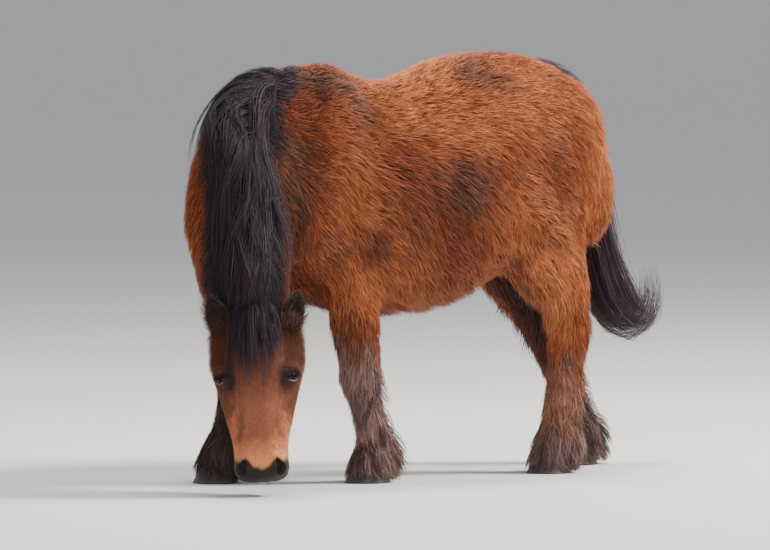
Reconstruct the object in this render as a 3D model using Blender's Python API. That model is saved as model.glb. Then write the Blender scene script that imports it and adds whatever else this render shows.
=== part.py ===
"""A Shetland pony in its winter coat, grazing, at life size.

Metres, +Z up. +X is the way the trunk faces, +Y is the pony's left, and the floor is at Z 0.
The outer surface is the coat's own outline, so the flesh lies a little way inside it.
"""

import math
import random

import bmesh
import bpy
import numpy as np
from mathutils import Matrix, Vector
from mathutils.bvhtree import BVHTree

# Driving dimensions, for a pony that is one metre tall at the withers
GAP = 0.0003  # between neighbouring nodes
SKIN_VOXEL = 0.005
FINEST = 60000  # triangles over the whole skin before any part is thinned further
NECK_DETAIL = 4200  # triangles over the whole skin, when it is thinned as coarsely as the neck is
HEAD_DETAIL = 7200  # triangles over the whole skin, when it is thinned as finely as the head is
HOOF_TOP = 0.055

# Trunk stations from breast to buttocks: x, top, bottom, half width, height of the widest line, squareness
TRUNK = [
    (0.545, 0.70, 0.58, 0.060, 0.64, 2.0),
    (0.510, 0.78, 0.51, 0.125, 0.65, 2.0),
    (0.450, 0.880, 0.465, 0.172, 0.66, 1.9),
    (0.370, 0.955, 0.435, 0.198, 0.67, 1.7),
    (0.290, 0.985, 0.414, 0.212, 0.67, 1.6),
    (0.220, 0.962, 0.403, 0.225, 0.67, 1.7),
    (0.130, 0.937, 0.396, 0.240, 0.67, 2.0),
    (0.020, 0.957, 0.400, 0.254, 0.66, 2.2),
    (-0.080, 0.990, 0.424, 0.256, 0.67, 2.3),
    (-0.190, 1.003, 0.474, 0.242, 0.70, 2.3),
    (-0.300, 0.992, 0.515, 0.226, 0.73, 2.3),
    (-0.395, 0.952, 0.545, 0.196, 0.75, 2.1),
    (-0.455, 0.885, 0.595, 0.142, 0.75, 2.0),
    (-0.497, 0.815, 0.650, 0.078, 0.74, 2.0),
]

# Neck stations from the shoulders to the throat: centre x, y, z, half depth, half width
NECK = [
    (0.310, 0.000, 0.742, 0.242, 0.165),
    (0.435, 0.005, 0.730, 0.228, 0.156),
    (0.528, 0.045, 0.655, 0.194, 0.140),
    (0.580, 0.118, 0.555, 0.152, 0.116),
    (0.610, 0.182, 0.470, 0.130, 0.100),
    (0.634, 0.228, 0.400, 0.112, 0.084),
]

# Masses that round out the trunk, on both sides: centre x, y, z, radii x, y, z, lean in degrees
MUSCLES = [
    (0.345, 0.105, 0.760, 0.095, 0.085, 0.190, -20),  # shoulder blade
    (0.395, 0.130, 0.620, 0.110, 0.082, 0.105, 15),  # point of the shoulder
    (0.470, 0.075, 0.590, 0.065, 0.075, 0.095, 0),  # breast
    (-0.150, 0.165, 0.830, 0.075, 0.065, 0.075, 0),  # point of the hip
    (-0.310, 0.105, 0.790, 0.150, 0.115, 0.165, 0),  # rump
    (-0.420, 0.085, 0.700, 0.080, 0.085, 0.165, 10),  # buttock
]

# Leg stations: height, half size fore and aft, half size across
FORELEG = [
    (0.66, 0.130, 0.075),
    (0.56, 0.100, 0.070),
    (0.47, 0.080, 0.058),
    (0.38, 0.062, 0.050),
    (0.30, 0.051, 0.045),
    (0.255, 0.051, 0.046),
    (0.20, 0.040, 0.036),
    (0.14, 0.038, 0.034),
    (0.10, 0.046, 0.041),
    (0.065, 0.049, 0.045),
    (0.035, 0.048, 0.045),
]
HINDLEG = [
    (0.72, 0.165, 0.100),
    (0.60, 0.150, 0.088),
    (0.52, 0.120, 0.078),
    (0.45, 0.086, 0.064),
    (0.39, 0.063, 0.051),
    (0.345, 0.057, 0.045),
    (0.28, 0.046, 0.040),
    (0.20, 0.042, 0.037),
    (0.13, 0.045, 0.040),
    (0.095, 0.051, 0.046),
    (0.065, 0.051, 0.048),
    (0.035, 0.050, 0.048),
]

# Where each leg's stations lie in the photo's stride: x at each station, then y at the top, middle and foot
STRIDE = {
    "foreleg_left": (
        FORELEG,
        (0.310, 0.295, 0.276, 0.262, 0.252, 0.247, 0.230, 0.211, 0.198, 0.202, 0.208),
        (0.115, 0.118, 0.100),
    ),
    "foreleg_right": (
        FORELEG,
        (0.345, 0.350, 0.368, 0.396, 0.420, 0.432, 0.446, 0.461, 0.472, 0.488, 0.500),
        (-0.115, -0.118, -0.100),
    ),
    "hindleg_left": (
        HINDLEG,
        (-0.26, -0.25, -0.28, -0.318, -0.336, -0.346, -0.343, -0.337, -0.331, -0.330, -0.325, -0.318),
        (0.120, 0.138, 0.105),
    ),
    "hindleg_right": (
        HINDLEG,
        (-0.31, -0.33, -0.36, -0.405, -0.440, -0.470, -0.492, -0.525, -0.543, -0.552, -0.548, -0.538),
        (-0.120, -0.130, -0.080),
    ),
}

# The head hangs from the poll and looks to the pony's left
POLL = Vector((0.651, 0.269, 0.430))
HEAD_TURN = math.radians(54)
HEAD_PITCH = math.radians(6)
HEAD_ROLL = math.radians(2.5)

# Head stations from nape to lips: along, bridge height, half width at the brow, at the cheek,
# at the jaw, cheek height, underside height
HEAD = [
    (-0.020, 0.012, 0.030, 0.064, 0.045, -0.050, -0.110),
    (0.030, 0.034, 0.046, 0.089, 0.058, -0.040, -0.150),
    (0.090, 0.050, 0.062, 0.104, 0.062, -0.035, -0.174),
    (0.150, 0.053, 0.070, 0.107, 0.060, -0.025, -0.170),
    (0.200, 0.047, 0.060, 0.094, 0.053, -0.025, -0.150),
    (0.250, 0.041, 0.049, 0.080, 0.046, -0.028, -0.122),
    (0.300, 0.037, 0.044, 0.068, 0.040, -0.030, -0.096),
    (0.340, 0.034, 0.045, 0.064, 0.040, -0.028, -0.082),
    (0.372, 0.027, 0.047, 0.067, 0.043, -0.022, -0.076),
    (0.391, 0.010, 0.038, 0.056, 0.038, -0.025, -0.066),
    (0.399, -0.012, 0.022, 0.036, 0.024, -0.032, -0.052),
]

# The line that the mane grows from, over the crest from the withers to the poll
MANE_LINE = [
    (0.392, 0.006, 0.955),
    (0.424, 0.032, 0.938),
    (0.464, 0.066, 0.905),
    (0.496, 0.091, 0.871),
    (0.525, 0.117, 0.826),
    (0.551, 0.139, 0.781),
    (0.587, 0.174, 0.725),
    (0.618, 0.208, 0.669),
    (0.644, 0.241, 0.602),
    (0.662, 0.271, 0.536),
    (0.675, 0.298, 0.469),
]

# Locks of long hair, in the solids a few broad ones for the many real ones
MANE_LOCKS, MANE_LENGTH, MANE_WIDTH, MANE_THICK = 38, 0.260, 0.018, 0.0060
FORELOCK_LOCKS, FORELOCK_LENGTH = 10, 0.125
TAIL_LOCKS, TAIL_WIDTH = 17, 0.021
FEATHER_LOCKS, FEATHER_WIDTH = 9, 0.016
FRINGE_LENGTH, FRINGE_WIDTH = 0.062, 0.011

# Each node's locks vary by their own seed
SEED = {
    "torso": 1,
    "foreleg_left": 12,
    "foreleg_right": 26,
    "hindleg_left": 4,
    "hindleg_right": 5,
    "neck": 6,
    "head": 7,
    "tail": 8,
}

EYE_RADIUS = 0.018
LID = 0.0045  # thickness of the lids over the eyeball
EYE_SEAT = (0.163, 0.000, 0.055)  # along, dorsal, across, behind the eyeball
EAR_SEAT = (0.066, -0.008, 0.072)
EAR_LENGTH = 0.102
EAR_WIDTH = 0.033

COAT = {
    "coat": ((0.235, 0.085, 0.040), 0.85),
    "points": ((0.045, 0.032, 0.030), 0.80),
    "mane": ((0.018, 0.016, 0.020), 0.60),
    "hoof": ((0.050, 0.042, 0.038), 0.55),
    "eye": ((0.020, 0.010, 0.006), 0.10),
}


def clear_scene():
    for obj in list(bpy.data.objects):
        bpy.data.objects.remove(obj)


def material(name):
    """One finish of the pony, made the first time it is asked for."""
    found = bpy.data.materials.get(name)
    if found:
        return found
    colour, roughness = COAT[name]
    made = bpy.data.materials.new(name)
    made.use_nodes = True
    shader = made.node_tree.nodes["Principled BSDF"]
    shader.inputs["Base Color"].default_value = (*colour, 1.0)
    shader.inputs["Roughness"].default_value = roughness
    shader.inputs["Metallic"].default_value = 0.0
    return made


def smooth_rows(rows, between):
    """The rows with more rows between them, on a Catmull-Rom curve through all their numbers."""
    rows = np.array(rows, float)
    padded = np.vstack([2 * rows[0] - rows[1], rows, 2 * rows[-1] - rows[-2]])
    made = []
    for i in range(len(rows) - 1):
        a, b, c, d = padded[i : i + 4]
        for k in range(between):
            t = k / between
            made.append(
                0.5
                * (
                    2 * b
                    + (c - a) * t
                    + (2 * a - 5 * b + 4 * c - d) * t * t
                    + (3 * b - a - 3 * c + d) * t * t * t
                )
            )
    made.append(rows[-1])
    return np.array(made)


def outwards(faces):
    """Turns the faces of a closed surface round if they look inwards."""
    volume = 0.0
    for face in faces:
        first, *rest = [vert.co for vert in face.verts]
        volume += sum(first.dot(a.cross(b)) for a, b in zip(rest, rest[1:]))
    if volume < 0:
        for face in faces:
            face.normal_flip()


def add_loft(shape, rings):
    """A closed skin over rings of points, added to the bmesh."""
    loops = [[shape.verts.new(point) for point in ring] for ring in rings]
    count = len(loops[0])
    faces = []
    for low, high in zip(loops, loops[1:]):
        for i in range(count):
            j = (i + 1) % count
            faces.append(shape.faces.new((low[i], low[j], high[j], high[i])))
    faces.append(shape.faces.new(reversed(loops[0])))
    faces.append(shape.faces.new(loops[-1]))
    outwards(faces)


def add_ellipsoid(shape, centre, radii, turn=Matrix.Identity(4), detail=(20, 12)):
    place = Matrix.Translation(centre) @ turn @ Matrix.Diagonal((*radii, 1.0))
    bmesh.ops.create_uvsphere(
        shape, u_segments=detail[0], v_segments=detail[1], radius=1.0, matrix=place
    )


def oval(centre, across, up, half_width, rise, drop, power=2.0, count=32):
    """A ring round a centre: its upper and lower halves may differ, and power squares it off."""
    ring = []
    for k in range(count):
        angle = 2 * math.pi * k / count
        side, height = math.cos(angle), math.sin(angle)
        bend = power if height > 0 else 2.2
        sideways = math.copysign(abs(side) ** (2 / bend), side) * half_width
        upwards = math.copysign(abs(height) ** (2 / bend), height)
        upwards *= rise if height > 0 else drop
        ring.append(centre + across * sideways + up * upwards)
    return ring


def new_object(name, shape, finish="coat"):
    """The bmesh as a named object in the scene."""
    mesh = bpy.data.meshes.new(name)
    shape.to_mesh(mesh)
    shape.free()
    obj = bpy.data.objects.new(name, mesh)
    mesh.materials.append(material(finish))
    bpy.context.scene.collection.objects.link(obj)
    return obj


def bake_modifiers(obj):
    """Carries the object's modifiers out on its mesh."""
    graph = bpy.context.evaluated_depsgraph_get()
    done = bpy.data.meshes.new_from_object(obj.evaluated_get(graph))
    obj.modifiers.clear()
    obj.data = done
    return obj


def fuse(obj, voxel, passes):
    """Overlapping closed shapes become one skin, lightly smoothed."""
    remesh = obj.modifiers.new("one skin", "REMESH")
    remesh.mode = "VOXEL"
    remesh.voxel_size = voxel
    soften = obj.modifiers.new("soften", "SMOOTH")
    soften.factor = 0.5
    soften.iterations = passes
    return bake_modifiers(obj)


def soften_body(obj, passes):
    """Smooths the creases between the body's masses, and leaves the head and the lower legs crisp."""
    group = obj.vertex_groups.new(name="body")
    count = len(obj.data.vertices)
    points = np.empty(count * 3)
    obj.data.vertices.foreach_get("co", points)
    points = points.reshape(-1, 3)
    along = (points - np.array(POLL)) @ np.array(ALONG)
    dorsal = (points - np.array(POLL)) @ np.array(DORSAL)
    across = (points - np.array(POLL)) @ np.array(ACROSS)
    near = (np.abs(across) < 0.16) & (dorsal > -0.24) & (along < 0.5)
    head = np.where(near, np.clip((along + 0.03) / 0.06, 0, 1), 0)
    low = np.clip((0.52 - points[:, 2]) / 0.12, 0, 1) * 0.9
    weights = np.round((1 - head) * (1 - low), 1)
    for weight in np.unique(weights):
        if weight > 0:
            group.add(np.flatnonzero(weights == weight).tolist(), float(weight), "REPLACE")
    soften = obj.modifiers.new("soften", "SMOOTH")
    soften.factor = 0.6
    soften.iterations = passes
    soften.vertex_group = group.name
    return bake_modifiers(obj)


def inflated(obj, distance):
    """Pushes a skin outwards, so that it clears room round it."""
    push = obj.modifiers.new("push", "DISPLACE")
    push.strength = distance
    push.mid_level = 0.0
    return bake_modifiers(obj)


def thinned(source, name, triangles, finish="coat"):
    """A copy of the object with about that many triangles over its whole surface."""
    mesh = source.data.copy()
    obj = bpy.data.objects.new(name, mesh)
    mesh.materials.clear()
    mesh.materials.append(material(finish))
    bpy.context.scene.collection.objects.link(obj)
    reduce = obj.modifiers.new("reduce", "DECIMATE")
    reduce.ratio = min(1.0, triangles / (2 * len(mesh.polygons)))
    reduce.use_collapse_triangulate = True
    return bake_modifiers(obj)


def carve(obj, other, operation, keep_other=False, solver="EXACT"):
    """A Boolean with one other object, carried out."""
    step = obj.modifiers.new(operation.lower(), "BOOLEAN")
    step.operation = operation
    step.solver = solver
    step.object = other
    bake_modifiers(obj)
    if not keep_other:
        bpy.data.objects.remove(other)
    return obj


def join_all(obj, others):
    """One union of the object with a collection of closed pieces, which are then removed."""
    group = bpy.data.collections.new(obj.name + "_pieces")
    bpy.context.scene.collection.children.link(group)
    for other in others:
        group.objects.link(other)
        bpy.context.scene.collection.objects.unlink(other)
    step = obj.modifiers.new("union", "BOOLEAN")
    step.operation = "UNION"
    step.solver = "MANIFOLD"
    step.operand_type = "COLLECTION"
    step.collection = group
    bake_modifiers(obj)
    for other in list(group.objects):
        bpy.data.objects.remove(other)
    bpy.data.collections.remove(group)
    return obj


def keep_largest(obj):
    """Drops all but the largest closed surface of the mesh."""
    shape = bmesh.new()
    shape.from_mesh(obj.data)
    left = set(shape.faces)
    islands = []
    while left:
        island, front = [], [left.pop()]
        while front:
            face = front.pop()
            island.append(face)
            for edge in face.edges:
                for near in edge.link_faces:
                    if near in left:
                        left.remove(near)
                        front.append(near)
        islands.append(island)
    islands.sort(key=len)
    for island in islands[:-1]:
        bmesh.ops.delete(shape, geom=island, context="FACES")
    shape.to_mesh(obj.data)
    shape.free()
    return obj


def block(point, normal, along, half_along, half_across, depth, grow=0.0):
    """A box that starts at a plane through the point and reaches the depth along its normal."""
    ahead = Vector(normal).normalized()
    first = Vector(along)
    first = (first - ahead * first.dot(ahead)).normalized()
    second = ahead.cross(first)
    centre = Vector(point) + ahead * (depth / 2)
    turn = Matrix((first, second, ahead)).transposed().to_4x4()
    size = Matrix.Diagonal(
        (2 * (half_along + grow), 2 * (half_across + grow), depth + 2 * grow, 1.0)
    )
    shape = bmesh.new()
    bmesh.ops.create_cube(shape, size=1.0, matrix=Matrix.Translation(centre) @ turn @ size)
    return new_object("block", shape)


# The planes that part the neck and the tail from the trunk: a point and the way out of the trunk
PLANES = {
    "neck": ((0.455, 0.0, 0.720), (0.93, 0.22, 0.20)),
    "tail": ((-0.470, 0.0, 0.900), (-1.0, 0.0, 0.05)),
}
PLANE_SIDE, PLANE_DEPTH = 1.2, 1.0

# The prism that holds each leg: x limits, height of its sloping top at the trunk's middle and at its side
LEG_PRISMS = {
    "foreleg_left": ((0.130, 0.400), (0.405, 0.600)),
    "foreleg_right": ((0.235, 0.600), (0.405, 0.600)),
    "hindleg_left": ((-0.490, -0.040), (0.420, 0.700)),
    "hindleg_right": ((-0.680, -0.090), (0.420, 0.700)),
}
TRUNK_SIDE = 0.27
LEG_SPLIT = 0.386  # the lower legs part from the thighs and upper forelegs here, just under the belly
UPPER = {
    "foreleg_left": "upper_foreleg_left",
    "foreleg_right": "upper_foreleg_right",
    "hindleg_left": "thigh_left",
    "hindleg_right": "thigh_right",
}


def head_axes():
    """The head's own directions: along it from poll to lips, out of its forehead, and to its left."""
    face = Vector((math.cos(HEAD_TURN), math.sin(HEAD_TURN), 0.0))
    left = Vector((-math.sin(HEAD_TURN), math.cos(HEAD_TURN), 0.0))
    down = Vector((0.0, 0.0, -1.0))
    along = down * math.cos(HEAD_PITCH) + face * math.sin(HEAD_PITCH)
    dorsal = face * math.cos(HEAD_PITCH) - down * math.sin(HEAD_PITCH)
    rolled = left * math.cos(HEAD_ROLL) - along * math.sin(HEAD_ROLL)
    along = along * math.cos(HEAD_ROLL) + left * math.sin(HEAD_ROLL)
    return along, dorsal, rolled


ALONG, DORSAL, ACROSS = head_axes()


def in_head(along, dorsal, across):
    """A point given by the head's own distances."""
    return POLL + ALONG * along + DORSAL * dorsal + ACROSS * across


def head_plane():
    """The plane from behind the ears to behind the jaw that parts the head from the neck."""
    return in_head(0.032, -0.085, 0.0), (ALONG * 0.903 + DORSAL * 0.43).normalized()


def head_cut(grow=0.0):
    """The box that holds the head."""
    return block(*head_plane(), ACROSS, 0.20, 0.22, 0.60, grow)


def leg_prism(name, grow=0.0):
    """The space round one leg, under a top that slopes up from the trunk's middle to its side."""
    (back, front), (inner_top, outer_top) = LEG_PRISMS[name]
    side = math.copysign(1.0, STRIDE[name][2][0])
    corners = []
    for x in (back - grow, front + grow):
        for across, top in ((0.004 - grow, inner_top), (TRUNK_SIDE, outer_top)):
            for z in (-0.1, top + grow * 1.3):
                corners.append(Vector((x, side * across, z)))
    shape = bmesh.new()
    verts = [shape.verts.new(corner) for corner in corners]
    bmesh.ops.convex_hull(shape, input=verts)
    bmesh.ops.recalc_face_normals(shape, faces=shape.faces)
    return new_object("prism", shape)


def inside_prism(name):
    """A test of whether a spot lies in a leg's prism, over the split, with a margin all round."""
    (back, front), (inner_top, outer_top) = LEG_PRISMS[name]
    side = math.copysign(1.0, STRIDE[name][2][0])

    def test(spot, margin):
        across = spot.y * side
        top = inner_top + (outer_top - inner_top) * across / TRUNK_SIDE
        level = back + margin < spot.x < front - margin and across > margin
        return level and LEG_SPLIT + margin < spot.z < top - margin * 1.3

    return test


def inside_torso(spot, margin):
    """Whether a spot lies clear of every part that leaves the torso."""
    point, normal = (Vector(v) for v in PLANES["neck"])
    if (spot - point).dot(normal.normalized()) > -margin:
        return False
    for name, ((back, front), (inner_top, outer_top)) in LEG_PRISMS.items():
        across = spot.y * math.copysign(1.0, STRIDE[name][2][0])
        top = inner_top + (outer_top - inner_top) * max(0.0, across) / TRUNK_SIDE
        if across > -margin and back - margin < spot.x < front + margin and spot.z < top + margin * 1.3:
            return False
    return True


def below_split(grow=0.0):
    """The space under the height where the lower legs begin."""
    return block((0, 0, LEG_SPLIT), (0, 0, -1), (1, 0, 0), 3, 3, 1, grow)


def part_box(name, grow=0.0):
    """The space that holds one part, and is taken from its neighbours."""
    if name in LEG_PRISMS:
        return leg_prism(name, grow)
    point, normal = PLANES[name]
    return block(point, normal, (0, 1, 0), PLANE_SIDE, PLANE_SIDE, PLANE_DEPTH, grow)


def add_trunk(shape):
    rings = []
    for x, top, bottom, half_width, wide, power in smooth_rows(TRUNK, 3):
        centre = Vector((x, 0.0, wide))
        rings.append(
            oval(centre, Vector((0, 1, 0)), Vector((0, 0, 1)), half_width, top - wide, wide - bottom, power)
        )
    add_loft(shape, rings)
    for x, y, z, rx, ry, rz, lean in MUSCLES:
        for side in (1, -1):
            turn = Matrix.Rotation(math.radians(lean), 4, "Y")
            add_ellipsoid(shape, Vector((x, side * y, z)), (rx, ry, rz), turn)


def neck_frames(between=4):
    """Along the neck: centre, forward, sideways, crestward, half depth, half width."""
    rows = smooth_rows(NECK, between)
    centres = [Vector(row[:3]) for row in rows]
    frames = []
    for i, row in enumerate(rows):
        forward = (centres[min(i + 1, len(rows) - 1)] - centres[max(i - 1, 0)]).normalized()
        sideways = Vector((0, 0, 1)).cross(forward).normalized()
        crestward = forward.cross(sideways)
        frames.append((centres[i], forward, sideways, crestward, row[3], row[4]))
    return frames


def add_neck(shape):
    rings = []
    for centre, _, sideways, crestward, depth, width in neck_frames():
        rings.append(oval(centre, sideways, crestward, width, depth, depth, 1.5))
    add_loft(shape, rings)


def leg_rows(name):
    """The leg's stations in space: centre, half size fore and aft, half size across."""
    sizes, forward, (top, middle, foot) = STRIDE[name]
    rows = []
    for i, ((z, fore, side), x) in enumerate(zip(sizes, forward)):
        share = i / (len(sizes) - 1)
        if share < 0.4:
            y = top + (middle - top) * share / 0.4
        else:
            y = middle + (foot - middle) * (share - 0.4) / 0.6
        rows.append((x, y, z, fore, side))
    return smooth_rows(rows, 3)


def add_leg(shape, name):
    rows = leg_rows(name)
    centres = [Vector(row[:3]) for row in rows]
    rings = []
    for i, row in enumerate(rows):
        way = (centres[min(i + 1, len(rows) - 1)] - centres[max(i - 1, 0)]).normalized()
        fore = Vector((0, 1, 0)).cross(way).normalized()
        side = way.cross(fore)
        rings.append(oval(centres[i], side, fore, row[4], row[3], row[3], 2.2))
    add_loft(shape, rings)


def head_ring(row, count=36):
    """One slice of the head: a closed curve through its bridge, brow, cheek, jaw and underside."""
    along, bridge, brow, cheek, jaw, cheek_height, underside = row
    depth = bridge - underside
    half = [
        (bridge, 0.0),
        (bridge - 0.03 * depth, brow * 0.62),
        (bridge - 0.13 * depth, brow),
        ((bridge + cheek_height) / 2 - 0.04 * depth, (brow * 0.35 + cheek * 0.65)),
        (cheek_height - 0.02 * depth, cheek),
        (underside * 0.62 + cheek_height * 0.38, jaw * 0.5 + cheek * 0.5),
        (underside + 0.10 * depth, jaw),
        (underside + 0.015 * depth, jaw * 0.55),
        (underside, 0.0),
    ]
    loop = half + [(v, -w) for v, w in reversed(half[1:-1])]
    points = np.array(loop + loop[:3], float)
    closed = smooth_rows(np.vstack([points[-4:-3], points]), 3)[3:-6]
    step = len(closed) / count
    ring = []
    for k in range(count):
        position = k * step
        low = int(position)
        share = position - low
        high = (low + 1) % len(closed)
        dorsal, across = closed[low] * (1 - share) + closed[high] * share
        ring.append(in_head(along, dorsal, across))
    return ring


def add_head(shape):
    add_loft(shape, [head_ring(row) for row in smooth_rows(HEAD, 3)])
    for side in (1, -1):
        # the brow over each eye, the cheek and the bulb of each nostril
        add_ellipsoid(shape, in_head(0.150, 0.018, side * 0.080), (0.026, 0.020, 0.024))
        turn = Matrix((ACROSS, DORSAL, ALONG)).transposed().to_4x4()
        add_ellipsoid(shape, in_head(0.115, -0.095, side * 0.062), (0.026, 0.060, 0.075), turn)
        add_ellipsoid(shape, in_head(0.366, 0.002, side * 0.044), (0.020, 0.026, 0.026), turn)
    add_ellipsoid(shape, in_head(0.380, -0.066, 0.0), (0.030, 0.018, 0.020))


def make_skin():
    """The whole pony but for its ears, mane, tail and hooves, as one closed skin."""
    shape = bmesh.new()
    add_trunk(shape)
    add_neck(shape)
    add_head(shape)
    for name in STRIDE:
        add_leg(shape, name)
    raw = soften_body(fuse(new_object("raw", shape), SKIN_VOXEL, 4), 110)
    skin = thinned(raw, "skin", FINEST)
    bpy.data.objects.remove(raw)
    return skin


def surface_of(obj):
    return BVHTree.FromObject(obj, bpy.context.evaluated_depsgraph_get())


def ear_line(side):
    """An ear's root and the way it points."""
    up = (-ALONG * 0.90 + ACROSS * side * 0.30 + DORSAL * 0.12).normalized()
    return in_head(EAR_SEAT[0], EAR_SEAT[1], side * EAR_SEAT[2]), up


def near_ear(spot, margin):
    """Whether a spot lies too close to either ear."""
    for side in (1, -1):
        seat, up = ear_line(side)
        reach = min(EAR_LENGTH, max(0.0, (spot - seat).dot(up)))
        if (spot - seat - up * reach).length < EAR_WIDTH + margin:
            return True
    return False


def ear(side, name):
    """One cupped ear, with its root sunk in the head."""
    seat, up = ear_line(side)
    opening = (DORSAL * 0.85 + ACROSS * side * 0.50).normalized()
    opening = (opening - up * opening.dot(up)).normalized()
    across = up.cross(opening)
    steps, arc = 8, 7
    rings = []
    for i in range(steps):
        share = i / (steps - 1)
        width = EAR_WIDTH * (0.62 + 1.35 * share - 1.75 * share**2) * (1 - 0.55 * share**6)
        back = width * 0.85
        hollow = min(0.80, max(0.0, (share - 0.14) * 4.0))
        centre = seat + up * (share * EAR_LENGTH)
        rim = 0.006
        outer, inner = [], []
        for k in range(arc):
            angle = math.pi * k / (arc - 1)
            outer.append(centre + across * (math.cos(angle) * width) - opening * (math.sin(angle) * back))
            inner.append(
                centre
                + across * (math.cos(angle) * (width - rim))
                - opening * (math.sin(angle) * (back - rim) * hollow - rim * 0.5)
            )
        rings.append(outer + inner[::-1])
    shape = bmesh.new()
    add_loft(shape, rings)
    return new_object(name, shape, "points")


def hoof_centre(name):
    """Where a hoof stands: x and y of its sole's middle."""
    _, forward, (_, _, foot) = STRIDE[name]
    return forward[-1] + 0.008, foot


def hoof_ring(centre_x, foot, height):
    """A level slice of a hoof: its middle, half size fore and aft, half size across."""
    share = max(0.0, height / HOOF_TOP)
    size = 0.055 - 0.014 * share
    return Vector((centre_x - 0.020 * share, foot, height)), size, size * 0.92


def make_hoof(name):
    """A hoof, wider at the ground than at the coronet, flat underneath."""
    centre_x, foot = hoof_centre(name)
    rings = []
    edges = ((0.0, 0.003), (0.002, 0.0), (0.028, 0.0), (HOOF_TOP - 0.002, 0.0), (HOOF_TOP - GAP, 0.003))
    for height, bevel in edges:
        middle, fore, across = hoof_ring(centre_x, foot, height)
        fore, across = fore - bevel, across - bevel
        rings.append(oval(middle, Vector((0, 1, 0)), Vector((1, 0, 0)), across, fore, fore, 2.2, 18))
    shape = bmesh.new()
    add_loft(shape, rings)
    return new_object(name.replace("leg", "hoof"), shape, "hoof")


def cut_part(source, name, triangles, finish):
    """One part of the skin, parted from the rest by its own space."""
    return carve(thinned(source, name, triangles, finish), part_box(name), "INTERSECT")


def eye_place(surface, side):
    """The eyeball's centre and the way it looks, from where the head's skin lies."""
    gaze = (DORSAL * 0.72 + ACROSS * side * 0.69 + ALONG * 0.08).normalized()
    seat = in_head(EYE_SEAT[0], EYE_SEAT[1], side * EYE_SEAT[2])
    skin = surface.ray_cast(seat, gaze, 0.2)[0]
    return skin - gaze * (EYE_RADIUS * 0.95), gaze


def make_eye(name, centre):
    shape = bmesh.new()
    add_ellipsoid(shape, centre, (EYE_RADIUS,) * 3, detail=(14, 8))
    return new_object(name, shape, "eye")


def lid_ball(centre):
    """The lids before they part: a shell that the head grows over the eyeball."""
    shape = bmesh.new()
    add_ellipsoid(shape, centre, (EYE_RADIUS + LID,) * 3, detail=(18, 10))
    return new_object("lids", shape)


def lid_opening(centre, gaze, side):
    """The almond gap between the lids, with its corners level with the face."""
    brow = (-ALONG + gaze * ALONG.dot(gaze)).normalized()
    corner = brow.cross(gaze) * side
    corner = (corner + brow * 0.10 * side).normalized()
    rings = []
    for reach, size in ((0.2, 0.75), (0.75, 0.95), (1.5, 1.35)):
        ring = []
        for k in range(14):
            angle = 2 * math.pi * k / 14
            wide, tall = math.cos(angle), math.sin(angle)
            tall *= 1 - 0.35 * abs(wide)
            ring.append(
                centre
                + gaze * (EYE_RADIUS * reach)
                + corner * (wide * EYE_RADIUS * 0.86 * size)
                + brow * (tall * EYE_RADIUS * 0.54 * size)
            )
        rings.append(ring)
    shape = bmesh.new()
    add_loft(shape, rings)
    return new_object("opening", shape)


def ball(centre, radii, axes):
    """An ellipsoid cutter on three axes."""
    shape = bmesh.new()
    turn = Matrix(axes).transposed().to_4x4()
    add_ellipsoid(shape, centre, radii, turn, (14, 8))
    return new_object("ball", shape)


def nostril_cutter(surface, side):
    out = (DORSAL * 0.70 + ACROSS * side * 0.50 + ALONG * 0.50).normalized()
    start = in_head(0.352, 0.0, side * 0.030)
    skin = surface.ray_cast(start, out, 0.2)[0]
    long_way = ALONG * 0.5 - ACROSS * side * 0.25 - DORSAL * 0.55
    long_way = (long_way - out * long_way.dot(out)).normalized()
    return ball(skin, (0.016, 0.0085, 0.012), (long_way, out.cross(long_way), out))


def mouth_cutter(surface):
    """The line between the lips, from one corner round the front to the other."""
    middle = in_head(0.335, -0.050, 0.0)
    lip_normal = (DORSAL * 0.97 - ALONG * 0.10).normalized()
    rings = []
    steps = 18
    for i in range(steps + 1):
        angle = math.radians(-98 + 196 * i / steps)
        out = ALONG * math.cos(angle) + ACROSS * math.sin(angle)
        out = (out - lip_normal * out.dot(lip_normal)).normalized()
        skin = surface.ray_cast(middle, out, 0.2)[0]
        tall, deep = 0.0016, 0.0055
        ends = 0.35 if i in (0, steps) else 1.0
        rings.append(
            [
                skin + out * 0.004 + lip_normal * tall * ends,
                skin + out * 0.004 - lip_normal * tall * ends,
                skin - out * deep * ends - lip_normal * tall * 0.3,
                skin - out * deep * ends + lip_normal * tall * 0.3,
            ]
        )
    shape = bmesh.new()
    add_loft(shape, rings)
    return new_object("mouth", shape)


TAIL = [  # centre x, y, z, half fore and aft, half across, from the croup to the tip
    (-0.410, 0.0, 0.925, 0.032, 0.036),
    (-0.462, -0.010, 0.905, 0.032, 0.036),
    (-0.510, -0.028, 0.815, 0.032, 0.040),
    (-0.540, -0.040, 0.695, 0.036, 0.050),
    (-0.543, -0.036, 0.575, 0.044, 0.062),
    (-0.560, -0.024, 0.470, 0.052, 0.068),
    (-0.594, -0.010, 0.388, 0.054, 0.064),
    (-0.638, 0.000, 0.348, 0.044, 0.052),
    (-0.678, 0.000, 0.375, 0.032, 0.038),
    (-0.690, 0.000, 0.440, 0.022, 0.026),
    (-0.668, 0.000, 0.500, 0.014, 0.016),
]


def tail_frames(between=4):
    """Along the tail: centre, sideways, backwards, half fore and aft, half across."""
    rows = smooth_rows(TAIL, between)
    centres = [Vector(row[:3]) for row in rows]
    frames = []
    for i, row in enumerate(rows):
        way = (centres[min(i + 1, len(rows) - 1)] - centres[max(i - 1, 0)]).normalized()
        back = Vector((0, 1, 0)).cross(way).normalized()
        frames.append((centres[i], way.cross(back), back, row[3], row[4]))
    return frames


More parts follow.
